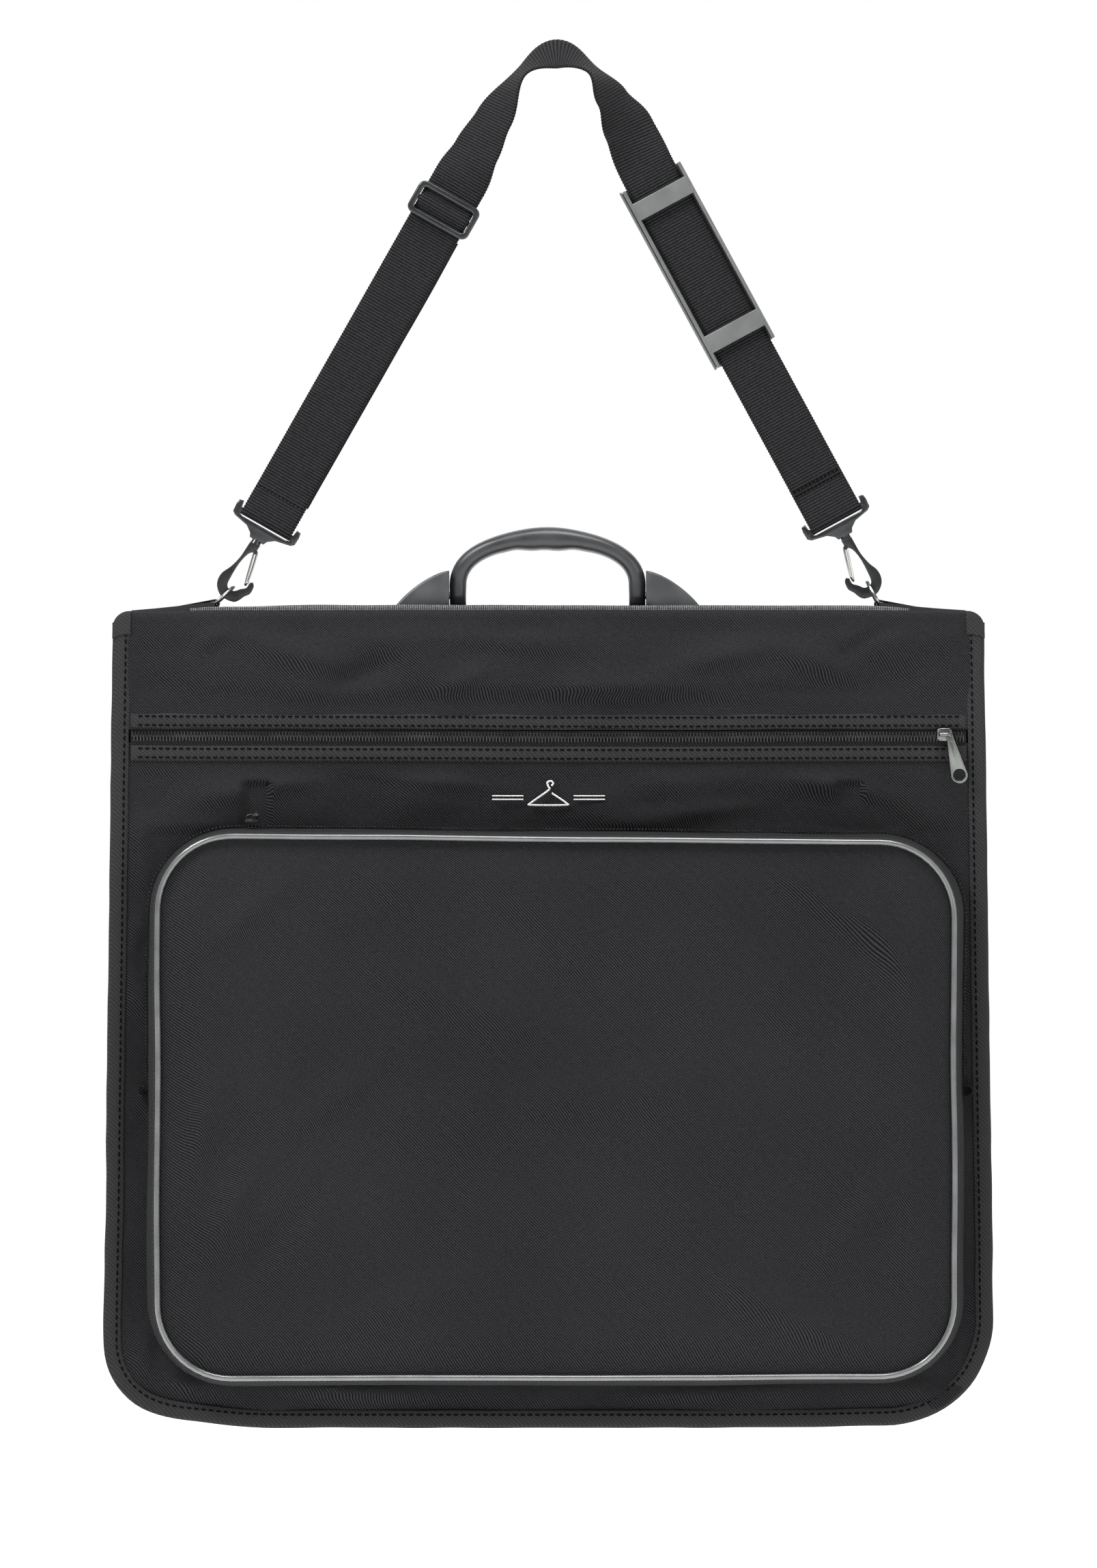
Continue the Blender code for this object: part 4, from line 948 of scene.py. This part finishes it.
def makeStrap():
    line = smoothPath(strapLine, 14)
    top = min(range(len(line)), key=lambda i: line[i].length)
    stations = endTurn(legs["left"], 20 * mm)
    lengths = [0.0]
    for a, b in zip(line, line[1:]):
        lengths.append(lengths[-1] + (b - a).length)
    for i, along in enumerate(tangents(line)):
        if min((line[i] - legs["left"]["bar"]).length, (line[i] - legs["right"]["bar"]).length) < 33 * mm:
            continue
        inner = Vector((along.z, 0, -along.x))
        turn = turnedBy(abs(lengths[i] - lengths[top]), strap["leftTurn"] if i < top else strap["rightTurn"])
        sway = Vector((0, 0.5 * mm * ripple(lengths[i], 0, 30.0, 2.0) * math.cos(turn), 0))
        stations.append((line[i] + sway, inner * math.cos(turn) - Vector((0, math.sin(turn), 0))))
    stations += endTurn(legs["right"], 30 * mm)[::-1]
    makeWebbing("shoulderStrap", stations, strap["wide"], strap["thick"], "strap", ["shoulder_strap"])

    leg = legs["left"]
    glide = Vector((-76.2 * mm, 0, -105.7 * mm))
    length = (glide - leg["bar"]).length
    stations = []
    for i in range(80):
        run = 21 * mm + (length - 36 * mm) * i / 79
        aside = leg["across"] * (0.9 * mm + 0.8 * mm * ripple(run, 0, 14.0, 6.1))
        depth = 2.1 * mm + 0.3 * mm * ripple(run, 0, 24.0, 1.1)
        stations.append((leg["bar"] + leg["up"] * run + aside + Vector((0, depth, 0)), leg["across"]))
    run = makeWebbing("strapReturn", stations, strap["wide"], 1.3 * mm, "strap", ["strap_return_run"],
                      10, 2 * mm)
    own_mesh(run)

    place = Matrix.Translation(glide) @ leg["place"].to_3x3().to_4x4()
    loop = [(-13, 2.0), (-8, 2.0), (-4, 2.0), (1.2, 2.1), (3.3, 2.7), (4.2, 4.2), (3.3, 5.8), (1.2, 6.5),
            (-4, 6.6), (-13, 6.4)]
    path = smoothPath([(0, y * mm, z * mm) for z, y in loop], 4)
    stations = [(place @ p, leg["across"]) for p in path]
    makeWebbing("strapEndLoop", stations, 37.6 * mm, 1.2 * mm, "webbing_slider", ["strap_end_loop"])
    bulge = [(place @ Vector((0, (-0.9 - 2.6 * math.cos(math.pi * t / 2) ** 1.5) * mm, t * 8.0 * mm)),
              leg["across"])
             for t in [i / 12 - 1 for i in range(25)]]
    makeWebbing("strapOverSlider", bulge, 38.2 * mm, 1.0 * mm, "webbing_slider", ())

    for label, near, far in (("right", 24.5, 28.0), ("left", 17.0, 19.0)):
        leg = legs[label]
        for i, up in enumerate((near, far)):
            ends = [leg["place"] @ Vector((x * mm, -0.75 * mm, up * mm)) for x in (-17.5, 17.5)]
            stitchRow(f"strapEndStitches{label.title()}{i + 1}", ends, Vector((0, -1, 0)), blackThread,
                      "strap", 3 * mm)


def roundedRect(halfX, lowZ, highZ, radius, steps=6):
    line = arcPoints((halfX - radius, highZ - radius), radius, 0, 90, steps)
    line += arcPoints((-halfX + radius, highZ - radius), radius, 90, 180, steps)
    line += arcPoints((-halfX + radius, lowZ + radius), radius, 180, 270, steps)
    line += arcPoints((halfX - radius, lowZ + radius), radius, 270, 360, steps)
    return [(p.x, p.z) for p in line]


def roundedBox(bm, low, high, bevel, segments=3):
    made = bmesh.ops.create_cube(bm, size=1.0)["verts"]
    for vert in made:
        vert.co = Vector([a + (b - a) * (c + 0.5) for a, b, c in zip(low, high, vert.co)])
    edges = list({edge for vert in made for edge in vert.link_edges})
    bmesh.ops.bevel(bm, geom=edges, offset=bevel, segments=segments, profile=0.5, affect="EDGES", material=-1)


def placed(bm, matrix):
    bmesh.ops.transform(bm, verts=bm.verts, matrix=matrix)
    return bm


def makeGlide():
    # webbing slider: a rounded frame in front, rails at its sides and a round bar behind
    leg = legs["left"]
    place = Matrix.Translation((-76.2 * mm, 0, -105.7 * mm)) @ leg["place"].to_3x3().to_4x4()
    bm = bmesh.new()
    frameLine = [roundedRect(23.2 * mm, -11.9 * mm, 11.9 * mm, 5 * mm),
                 roundedRect(19.3 * mm, -8 * mm, 8 * mm, 2.5 * mm)]
    fillPlate(bm, frameLine, -4.6 * mm, -1.3 * mm, 1.1 * mm, 3)
    for side in (-1, 1):
        low, high = sorted((side * 19.7 * mm, side * 22.9 * mm))
        roundedBox(bm, (low, -2.4 * mm, -9.5 * mm), (high, 5.4 * mm, 9.5 * mm), 1.0 * mm)
    wire(bm, [Vector((x * mm, 4.2 * mm, 0)) for x in (-20.5, -10, 0, 10, 20.5)], 1.7 * mm, 12)
    finishPiece(placed(bm, place), "webbingSlider", hookAcetal, "webbing_slider", ["webbing_slider"],
                50)


def makePad():
    # shoulder pad: a back plate, two ridged rails and two bands over the webbing
    leg = legs["right"]
    place = Matrix.Translation((96.2 * mm, 0, -142.6 * mm)) @ leg["place"].to_3x3().to_4x4()
    bm = bmesh.new()
    fillPlate(bm, [roundedRect(21.7 * mm, -67.5 * mm, 67.5 * mm, 2 * mm, 4)], 1.7 * mm, 4.4 * mm, 0.8 * mm)
    for side in (-1, 1):
        low, high = sorted((side * 19.8 * mm, side * 22.2 * mm))
        roundedBox(bm, (low, -4.6 * mm, -67.5 * mm), (high, 4.2 * mm, 67.5 * mm), 0.7 * mm)
        low, high = sorted((side * 44.6 * mm, side * 57.2 * mm))
        roundedBox(bm, (-20.6 * mm, -4.8 * mm, low), (20.6 * mm, -1.5 * mm, high), 0.7 * mm)
    roundedBox(bm, (-24.3 * mm, -3.6 * mm, -68 * mm), (-22.6 * mm, 3.6 * mm, 68 * mm), 0.8 * mm)
    roundedBox(bm, (-22.9 * mm, -2.2 * mm, -66.5 * mm), (-21.6 * mm, 3.4 * mm, 66.5 * mm), 0.3 * mm, 2)
    finishPiece(placed(bm, place), "shoulderPad", padRubber, "shoulder_pad", ["shoulder_pad"],
                50)


# the hook seen from the front, in mm down from its collar and across towards the gate
hookShape = {
    "outer": [(4.3, -3.6), (10.1, -4.3), (17.3, -5.4), (25.3, -8.2), (30.7, -11.3), (36.1, -12.2),
              (41.0, -10.8), (45.0, -7.1), (46.6, -2.8), (46.1, 3.6), (43.6, 6.6), (39.6, 8.9),
              (36.2, 11.6), (31.0, 11.9), (28.4, 10.2)],
    "inner": [(29.6, 8.2), (33.7, 7.6), (36.2, 4.4), (39.2, 1.2), (39.4, -2.3), (37.9, -4.5), (33.6, -5.1),
              (21.2, -4.0), (12.4, -1.2), (9.0, 2.6), (4.5, 3.6)],
    "depth": 3.6 * mm,
}


def makeHook(label):
    leg = legs[label]
    name = label.title()
    bm = bmesh.new()
    outline = [(23.6, 4.4), (20.6, 5.0), (19.9, 0.6), (-19.9, 0.6), (-20.6, 5.0), (-23.6, 4.4), (-24.2, 1.0),
               (-23.8, -4.6), (-21.5, -6.4), (-11.0, -8.6), (-6.6, -11.8), (-5.2, -14.6), (5.2, -14.6),
               (6.6, -11.8), (11.0, -8.6), (21.5, -6.4), (23.8, -4.6), (24.2, 1.0)]
    slotHole = [(18.8, -1.9), (-18.8, -1.9), (-18.8, -3.9), (-16.5, -4.7), (16.5, -4.7), (18.8, -3.9)]
    outlines = [[(x * mm, z * mm) for x, z in line] for line in (outline, slotHole)]
    fillPlate(bm, outlines, -2.8 * mm, 2.8 * mm, 0.8 * mm)
    finishPiece(placed(bm, leg["place"]), "hookLoop" + name, hookAcetal, "strap", ["hook_loop_" + label],
                50)

    bm = bmesh.new()
    ring = smoothPath([(u, 0, w) for w, u in hookShape["outer"]], 3)
    ring += smoothPath([(u, 0, w) for w, u in hookShape["inner"]], 3)
    fillPlate(bm, [[(p.x * mm, p.z * mm) for p in ring]], -hookShape["depth"], hookShape["depth"], 1.3 * mm,
              3)
    wire(bm, [Vector((0, 0, z * mm)) for z in (-3.6, -1.0, 2.0, 4.5)],
         [1.3 * mm, 1.3 * mm, 3.2 * mm, 3.6 * mm], 14)
    wire(bm, [Vector((2.8 * mm, y * mm, 9.4 * mm)) for y in (-3.9, 0, 3.9)], 1.5 * mm, 10,
         flat=Vector((0, 0, 1)))
    finishPiece(placed(bm, leg["hook"]), "hook" + name, hookAcetal, "hook_" + label, ["hook_" + label],
                50)

    bm = bmesh.new()
    gate = [(2.0, -1.6, 9.4), (3.4, -1.6, 18), (5.2, -1.5, 28), (5.9, -1.0, 31.4), (6.1, 0, 32.2),
            (6.3, 1.0, 31.4), (6.6, 1.5, 28), (5.3, 1.6, 18), (3.9, 1.6, 9.4)]
    wire(bm, [p * mm for p in smoothPath(gate, 5)], 0.75 * mm, 8, flat=Vector((0, 1, 0.2)))
    finishPiece(placed(bm, leg["hook"]), "gate" + name, brightNickel, "gate_" + label, ["gate_" + label])


def makeRing(label, toward):
    # the ring through the hook, and the tab of webbing doubled round its low bar
    leg = legs[label]
    along = Vector((toward[0], 0, toward[1])).normalized()
    held = leg["hook"] @ Vector((-2.6 * mm, 0, 42.5 * mm))
    low = held - along * 6.5 * mm + along * 17 * mm
    bm = bmesh.new()
    line = [(12.5, 0), (13.3, 2.2)] + [(13.7 * math.cos(math.radians(t)), 17 * math.sin(math.radians(t)))
                                       for t in range(15, 166, 10)] + [(-13.3, 2.2), (-12.5, 0)]
    line += [(-8, -0.2), (0, -0.2), (8, -0.2)]
    wire(bm, [low + Vector((0, y * mm, 0)) - along * z * mm for y, z in line], 1.2 * mm, 10, closed=True,
         flat=Vector((-along.z, 0, along.x)))
    finishPiece(bm, "ring" + label.title(), brightNickel, "fold", ["ring_" + label])
    sign, reach = leg["sign"], 2.2 * mm
    cornerX = bag["midX"] + sign * 281.5 * mm
    cornerZ = bag["foldZ"] + 0.3 * mm + topEdgeZ(cornerX)
    path = [Vector((cornerX, 0, cornerZ)), Vector((low.x + sign * 30 * mm, 0, low.z - 4.6 * mm))]
    for turn in range(0, 181, 15):
        around = math.radians(turn)
        path.append(Vector((low.x - sign * reach * math.sin(around), 0, low.z - reach * math.cos(around))))
    path += [Vector((low.x + sign * 28 * mm, 0, low.z - 3.0 * mm)), Vector((cornerX, 0, cornerZ + 1.4 * mm))]
    stations = [(p, Vector((0, 1, 0))) for p in path]
    makeWebbing("ringTab" + label.title(), stations, 22 * mm, 1.1 * mm, "fold", ["ring_tab_" + label])

    # the fold's cloth is pulled up under the tab
    for face, y in (("Front", -12 * mm), ("Back", 12 * mm)):
        def shape(u, v):
            x = cornerX + (low.x - cornerX) * (u + 1) / 2
            near = 28 * mm / abs(low.x - cornerX)
            share = (u + 1) / 2
            kneeZ, ringZ = low.z - 2.6 * mm, low.z + 0.6 * mm
            top = cornerZ + 1.2 * mm + (kneeZ - cornerZ - 1.2 * mm) * share / (1 - near)
            if share > 1 - near:
                top = kneeZ + (ringZ - kneeZ) * (share - 1 + near) / near
            bottom = bag["foldZ"] - 1.5 * mm + topEdgeZ(x)
            return Vector((x, y + (1 - v) * y * 0.35, bottom + (top - bottom) * (v + 1) / 2))

        pulled = finishPiece(gridSheet(40, 6, shape), f"pulledCloth{label.title()}{face}", oxfordCloth,
                             "fold")
        thicken(pulled, 0.9 * mm, 0.0)


makeStrap()
makeGlide()
makePad()
for label in legs:
    makeHook(label)
makeRing("left", (-0.743, -0.669))
makeRing("right", (0.47, -0.88))
print("strap and hooks made")


# the handle's arch and its finger waves (x from its middle), and the caps' size
handle = {"midX": -5.9 * mm, "span": 60.6 * mm, "shoulderZ": -360 * mm, "topZ": -327.9 * mm, "arch": 0.87,
          "waves": (-32 * mm, 28 * mm, 20 * mm, 0.7 * mm), "capIn": 66.6 * mm, "capOut": 104 * mm,
          "capHigh": 26 * mm,
          "capBase": -375.4 * mm}


def makeHandle():
    stations = [(-handle["span"], z, depth, 5.5 * mm) for z, depth in
                ((-372.8 * mm, 1 * mm), (-371.8 * mm, 3.8 * mm), (-370 * mm, 5.7 * mm), (-366 * mm, 7 * mm))]
    for step in range(61):
        turn = math.pi * (1 - step / 60)
        lift = math.sin(turn)
        x = math.copysign(handle["span"] * abs(math.cos(turn)) ** handle["arch"], math.cos(turn))
        z = handle["shoulderZ"] + (handle["topZ"] - handle["shoulderZ"]) * lift ** handle["arch"]
        stations.append((x, z, (7 + 5 * lift) * mm, (5.7 + 2.5 * math.exp(-(x / (25 * mm)) ** 2)) * mm))
    stations += [(-x, z, depth, thick) for x, z, depth, thick in stations[:4][::-1]]
    line = [Vector((x, 0, z)) for x, z, _, _ in stations]
    rings = []
    low, high, pitch, depth = handle["waves"]
    for point, along, (x, z, deep, thick) in zip(line, tangents(line), stations):
        out = Vector((-along.z, 0, along.x))
        dip = depth * (0.5 - 0.5 * math.cos(2 * math.pi * (x - low) / pitch)) if low < x < high else 0.0
        ring = []
        for corner in range(24):
            turn = 2 * math.pi * corner / 24
            side = math.copysign(abs(math.cos(turn)) ** 0.8, math.cos(turn))
            front = math.copysign(abs(math.sin(turn)) ** 0.8, math.sin(turn))
            size = thick - (dip * ease(-side * 2) if side < 0 else 0.0)
            ring.append(Vector((handle["midX"], 0, 0)) + point + out * size * side
                        + Vector((0, deep * front, 0)))
        rings.append(ring)
    bm = bmesh.new()
    extrudeAlong(bm, rings)
    finishPiece(bm, "handleGrip", handleNylon, "handle", ["handle_grip"])
    for label, side in (("left", -1), ("right", 1)):
        bm = bmesh.new()
        inner, wide = handle["midX"] + side * handle["capIn"], handle["capOut"] - handle["capIn"]
        base, high = handle["capBase"], handle["capHigh"]
        shares = [1 - i / 20 for i in range(21)]
        curve = [(inner + side * wide * s, base + high * (1 - s ** 1.5) ** 0.85) for s in shares]
        fillPlate(bm, [[(inner, base), *curve]], -14.3 * mm, 14.3 * mm, 4.2 * mm, 5)
        collar = [(inner - side * 0.1 * mm, base + 1 * mm), (inner + side * 3.4 * mm, base + 1 * mm),
                  (inner + side * 3.4 * mm, base + high - 1.2 * mm),
                  (inner - side * 0.1 * mm, base + high - 2.6 * mm)]
        for front in (-1, 1):
            low, top = sorted((front * 9.6 * mm, front * 14.6 * mm))
            fillPlate(bm, [collar], low, top, 0.9 * mm)
        finishPiece(bm, "handleCap" + label.title(), capNylon, "fold", ["handle_cap_" + label],
                    35)


def makeEmblem():
    # a plain coat hanger in satin stitch between two pairs of plain lines
    low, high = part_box("embroidered_hanger")
    face = bag["frontY"] - 2.4 * mm
    midX, midZ = (low.x + high.x) / 2, (low.z + high.z) / 2 - 1.7 * mm
    hanger = [(2.0, 6.6), (3.2, 8.2), (1.6, 9.8), (-0.8, 8.8), (-0.2, 6.2), (0.0, 3.6), (-12.0, -5.0),
              (-11.2, -6.4), (11.2, -6.4), (12.0, -5.0), (2.2, 1.6)]
    bm = bmesh.new()
    wire(bm, smoothPath([(midX + x * mm, face, midZ + z * mm) for x, z in hanger], 4), 0.62 * mm, 8)
    for side in (-1, 1):
        for z in (-2.6, -0.2):
            line = [Vector((midX + side * x * mm, face, midZ + z * mm)) for x in (17, 26, 38)]
            wire(bm, line, 0.45 * mm, 6)
    finishPiece(bm, "embroideredHanger", whiteThread, "front_half", ["embroidered_hanger"])


def makePull(name, node, body, length, wide, matrix, material=zipAlloy):
    # a zip pull: an eye on the slider's bar, a tapering blade and a round hole
    tip = length - wide / 2
    outline = [(-2.0 * mm, 1.2 * mm), (-2.3 * mm, -3 * mm)]
    for degrees in range(186, 355, 12):
        turn = math.radians(degrees)
        outline.append((wide / 2 * math.cos(turn), -tip + wide / 2 * math.sin(turn)))
    outline += [(2.3 * mm, -3 * mm), (2.0 * mm, 1.2 * mm)]
    hole = []
    for degrees in range(0, 360, 15):
        turn = math.radians(degrees)
        hole.append((wide * 0.37 * math.cos(turn), -tip + wide * 0.37 * math.sin(turn)))
    bm = bmesh.new()
    fillPlate(bm, [outline, hole], -0.9 * mm, 0.9 * mm, 0.35 * mm)
    turns = [math.radians(30 * i) for i in range(12)]
    ring = [Vector((0, 2.0 * mm * math.cos(t), 2.0 * mm * math.sin(t))) for t in turns]
    wire(bm, ring, 0.7 * mm, 6, closed=True, flat=Vector((1, 0, 0)))
    roundedBox(bm, (-0.9 * mm, -1.2 * mm, -tip + wide * 0.5), (0.9 * mm, 1.2 * mm, -5 * mm), 0.3 * mm, 2)
    finishPiece(placed(bm, matrix), name, material, body, [node], 50)


def sliderBody(name, node, body, matrix, material=zipAlloy):
    # two plates with flared shoulders and a crown bar over them
    half = [(-5.0, 2.6), (-4.2, 3.8), (-1.0, 4.5), (2.6, 4.3), (4.6, 3.4), (5.2, 1.2)]
    outline = [(x * mm, z * mm) for x, z in half + [(x, -z) for x, z in half[::-1]]]
    bm = bmesh.new()
    fillPlate(bm, [outline], -2.2 * mm, 0.0, 0.5 * mm)
    crown = smoothPath([(-3.4 * mm, -1.6 * mm, 0), (-3.4 * mm, -4.0 * mm, 0), (-2.4 * mm, -5.4 * mm, 0),
                        (1.0 * mm, -5.7 * mm, 0),
                        (3.8 * mm, -5.4 * mm, 0), (4.7 * mm, -4.0 * mm, 0), (4.7 * mm, -1.6 * mm, 0)], 4)
    wire(bm, crown, 0.8 * mm, 8, flat=Vector((0, 0, 1)), squeeze=1.5)
    for side in (-1, 1):
        low, high = sorted((side * 3.5 * mm, side * 4.3 * mm))
        roundedBox(bm, (-3.6 * mm, -2.7 * mm, low), (3.6 * mm, -0.4 * mm, high), 0.35 * mm, 2)
    finishPiece(placed(bm, matrix), name, material, body, [node], 50)


def makeSliders():
    front = Matrix.Translation((261.5 * mm, bag["frontY"] - 1.9 * mm, -460.1 * mm))
    sliderBody("frontZipSlider", "front_zip_slider", "front_zip_slider", front)
    eye = front @ Matrix.Translation((3 * mm, -5.4 * mm, 0)) @ Matrix.Rotation(math.radians(-14), 4, "Y")
    makePull("frontZipPull", "front_zip_pull", "front_zip_pull", 33.7 * mm, 11.3 * mm, eye)
    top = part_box("pocket_zip_slider")
    pocketPlace = Matrix.Translation((-205 * mm, -33.8 * mm, top[0].z)) @ Matrix.Rotation(math.radians(-90),
                                                                                          4, "X")
    sliderBody("pocketZipSlider", "pocket_zip_slider", "pocket_zip_slider", pocketPlace, blackEnamel)
    eye = pocketPlace @ Matrix.Translation((3 * mm, -5.4 * mm, 0))
    makePull("pocketZipPull", "pocket_zip_pull", "pocket_zip_pull", 17 * mm, 5.6 * mm, eye, blackEnamel)
    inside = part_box("lining_zip_slider")
    liningPlace = Matrix.Translation((bag["midX"], inside[1].y, -880 * mm))
    sliderBody("liningZipSlider", "lining_zip_slider", "lining_zip_slider", liningPlace)
    eye = liningPlace @ Matrix.Translation((3 * mm, -5.4 * mm, 0))
    makePull("liningZipPull", "lining_zip_pull", "lining_zip_pull", 22 * mm, 8 * mm, eye)


# black enamel over zinc: the pocket's slider, glossy
blackEnamel = mouldedPlastic("black enamelled zinc alloy", "#161617", "#242425", 0.3, 0.8 * mm, 0.01 * mm)
makeHandle()
makeEmblem()
makeSliders()
print("handle, emblem and sliders made")


# linings: how slack they hang
lining = {"slack": 0.7 * mm, "thick": 0.6 * mm}


def makeLinings():
    for half in ("front", "back"):
        for part in ("left", "right"):
            node = f"{half}_lining_{part}"
            low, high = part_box(node)
            midX, midY = (low.x + high.x) / 2, (low.y + high.y) / 2
            wayOut = 0 if part == "left" else 1

            def shape(u, v):
                z = low.z + 1 * mm + (v + 1) / 2 * (high.z - low.z - 1 * mm)
                outer = rowEnds(z, 12.6 * mm)[wayOut]
                left, right = (outer, high.x) if wayOut == 0 else (low.x, outer)
                x = left + (right - left) * (u + 1) / 2
                z += edgeLift(x, z)
                edge = ease((1 - abs(u)) * 8) * ease((1 - abs(v)) * 8)
                return Vector((x, midY + lining["slack"] * ripple(x, z, 9.0, 20.0 + midY * 90) * edge, z))

            piece = finishPiece(gridSheet(60, 80, shape), f"{half}Lining{part.title()}", liningCloth,
                                f"{half}_half",
                                [node])
            thicken(piece, lining["thick"], 0.0)
        low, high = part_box(half + "_lining_coil")
        midX, midY = (low.x + high.x) / 2, (low.y + high.y) / 2
        bm = bmesh.new()
        away = 1 if half == "front" else -1

        def place(run, across, lift):
            return Vector((midX + across, midY + away * (lift - 0.5 * mm), run))

        coilRow(bm, low.z + 1 * mm, high.z - 2 * mm, 2.2 * mm, place)
        finishPiece(bm, half + "LiningCoil", coilNylon, half + "_half", ())
        node = f"tie_strap_{half}"
        low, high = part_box(node)
        stations = []
        for i in range(120):
            x = low.x + (high.x - low.x) * i / 119
            middle = (low.y + high.y) / 2 + 0.3 * mm * ripple(x, 0, 20.0, 31.0)
            stations.append((Vector((x, middle, (low.z + high.z) / 2)), Vector((0, 0, 1))))
        makeWebbing(f"{half}TieStrap", stations, high.z - low.z, 1.0 * mm, half + "_half", [node],
                    8,
                    2 * mm)


def makePocketTrim():
    # the tiny coil in the gusset's edge and the folded tabs at the zip's ends
    rim = pocketRim(0.0)
    base, front = gussetHigh.y, faceLow.y
    bm = bmesh.new()
    points = evenPath(rim, 2.4 * mm, closed=True)
    for point, along in zip(points, tangents(points, closed=True)):
        if point.z < -692 * mm:
            continue
        outward = Vector((along.z, 0, -along.x))
        flare = pocketFlare(point)
        at = point + outward * (flare * 0.87 + 1.4 * mm) + Vector((0, front + (base - front) * 0.87, 0))
        arch = ((-2.0, 0.0), (-1.0, 0.9), (1.0, 0.9), (2.0, 0.0))
        wire(bm, [at + Vector((0, y * mm, 0)) + outward * lift * mm for y, lift in arch], 0.6 * mm, 5,
             flat=along)
    finishPiece(bm, "pocketZipCoil", coilNylon, "front_half", ["pocket_zip_coil"])
    for label in ("left", "right"):
        low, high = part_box("pocket_tab_" + label)
        sign = -1 if label == "left" else 1
        root = low.x if sign > 0 else high.x
        middle = (low.z + high.z) / 2
        loop = [(0.0, 3.2), (2.4, 3.6), (3.6, 1.6), (3.8, -0.6), (2.6, -2.6), (0.0, -3.4)]
        stations = [(Vector((root + sign * p.x * mm, (low.y + high.y) / 2, middle + p.z * mm)),
                     Vector((0, 1, 0)))
                    for p in smoothPath([(x, 0, z) for x, z in loop], 4)]
        makeWebbing("pocketTab" + label.title(), stations, 10 * mm, 1.0 * mm, "front_half",
                    ["pocket_tab_" + label],
                    6)


makeLinings()
makePocketTrim()

# small hard parts shown as they are in the frame, each in its own material
shown = {
    "spine_board": capNylon, "handle_base_plate": capNylon, "handle_pin_left": brightNickel,
    "handle_pin_right": brightNickel, "hanger_bracket": brightNickel, "front_lining_coil": bindingTape,
    "back_lining_coil": bindingTape,
}
for number in range(1, 5):
    shown[f"cap_rivet_{number}"] = brightNickel
for node, material in shown.items():
    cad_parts[node].data.materials.clear()
    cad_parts[node].data.materials.append(material)
print("linings and trim made")
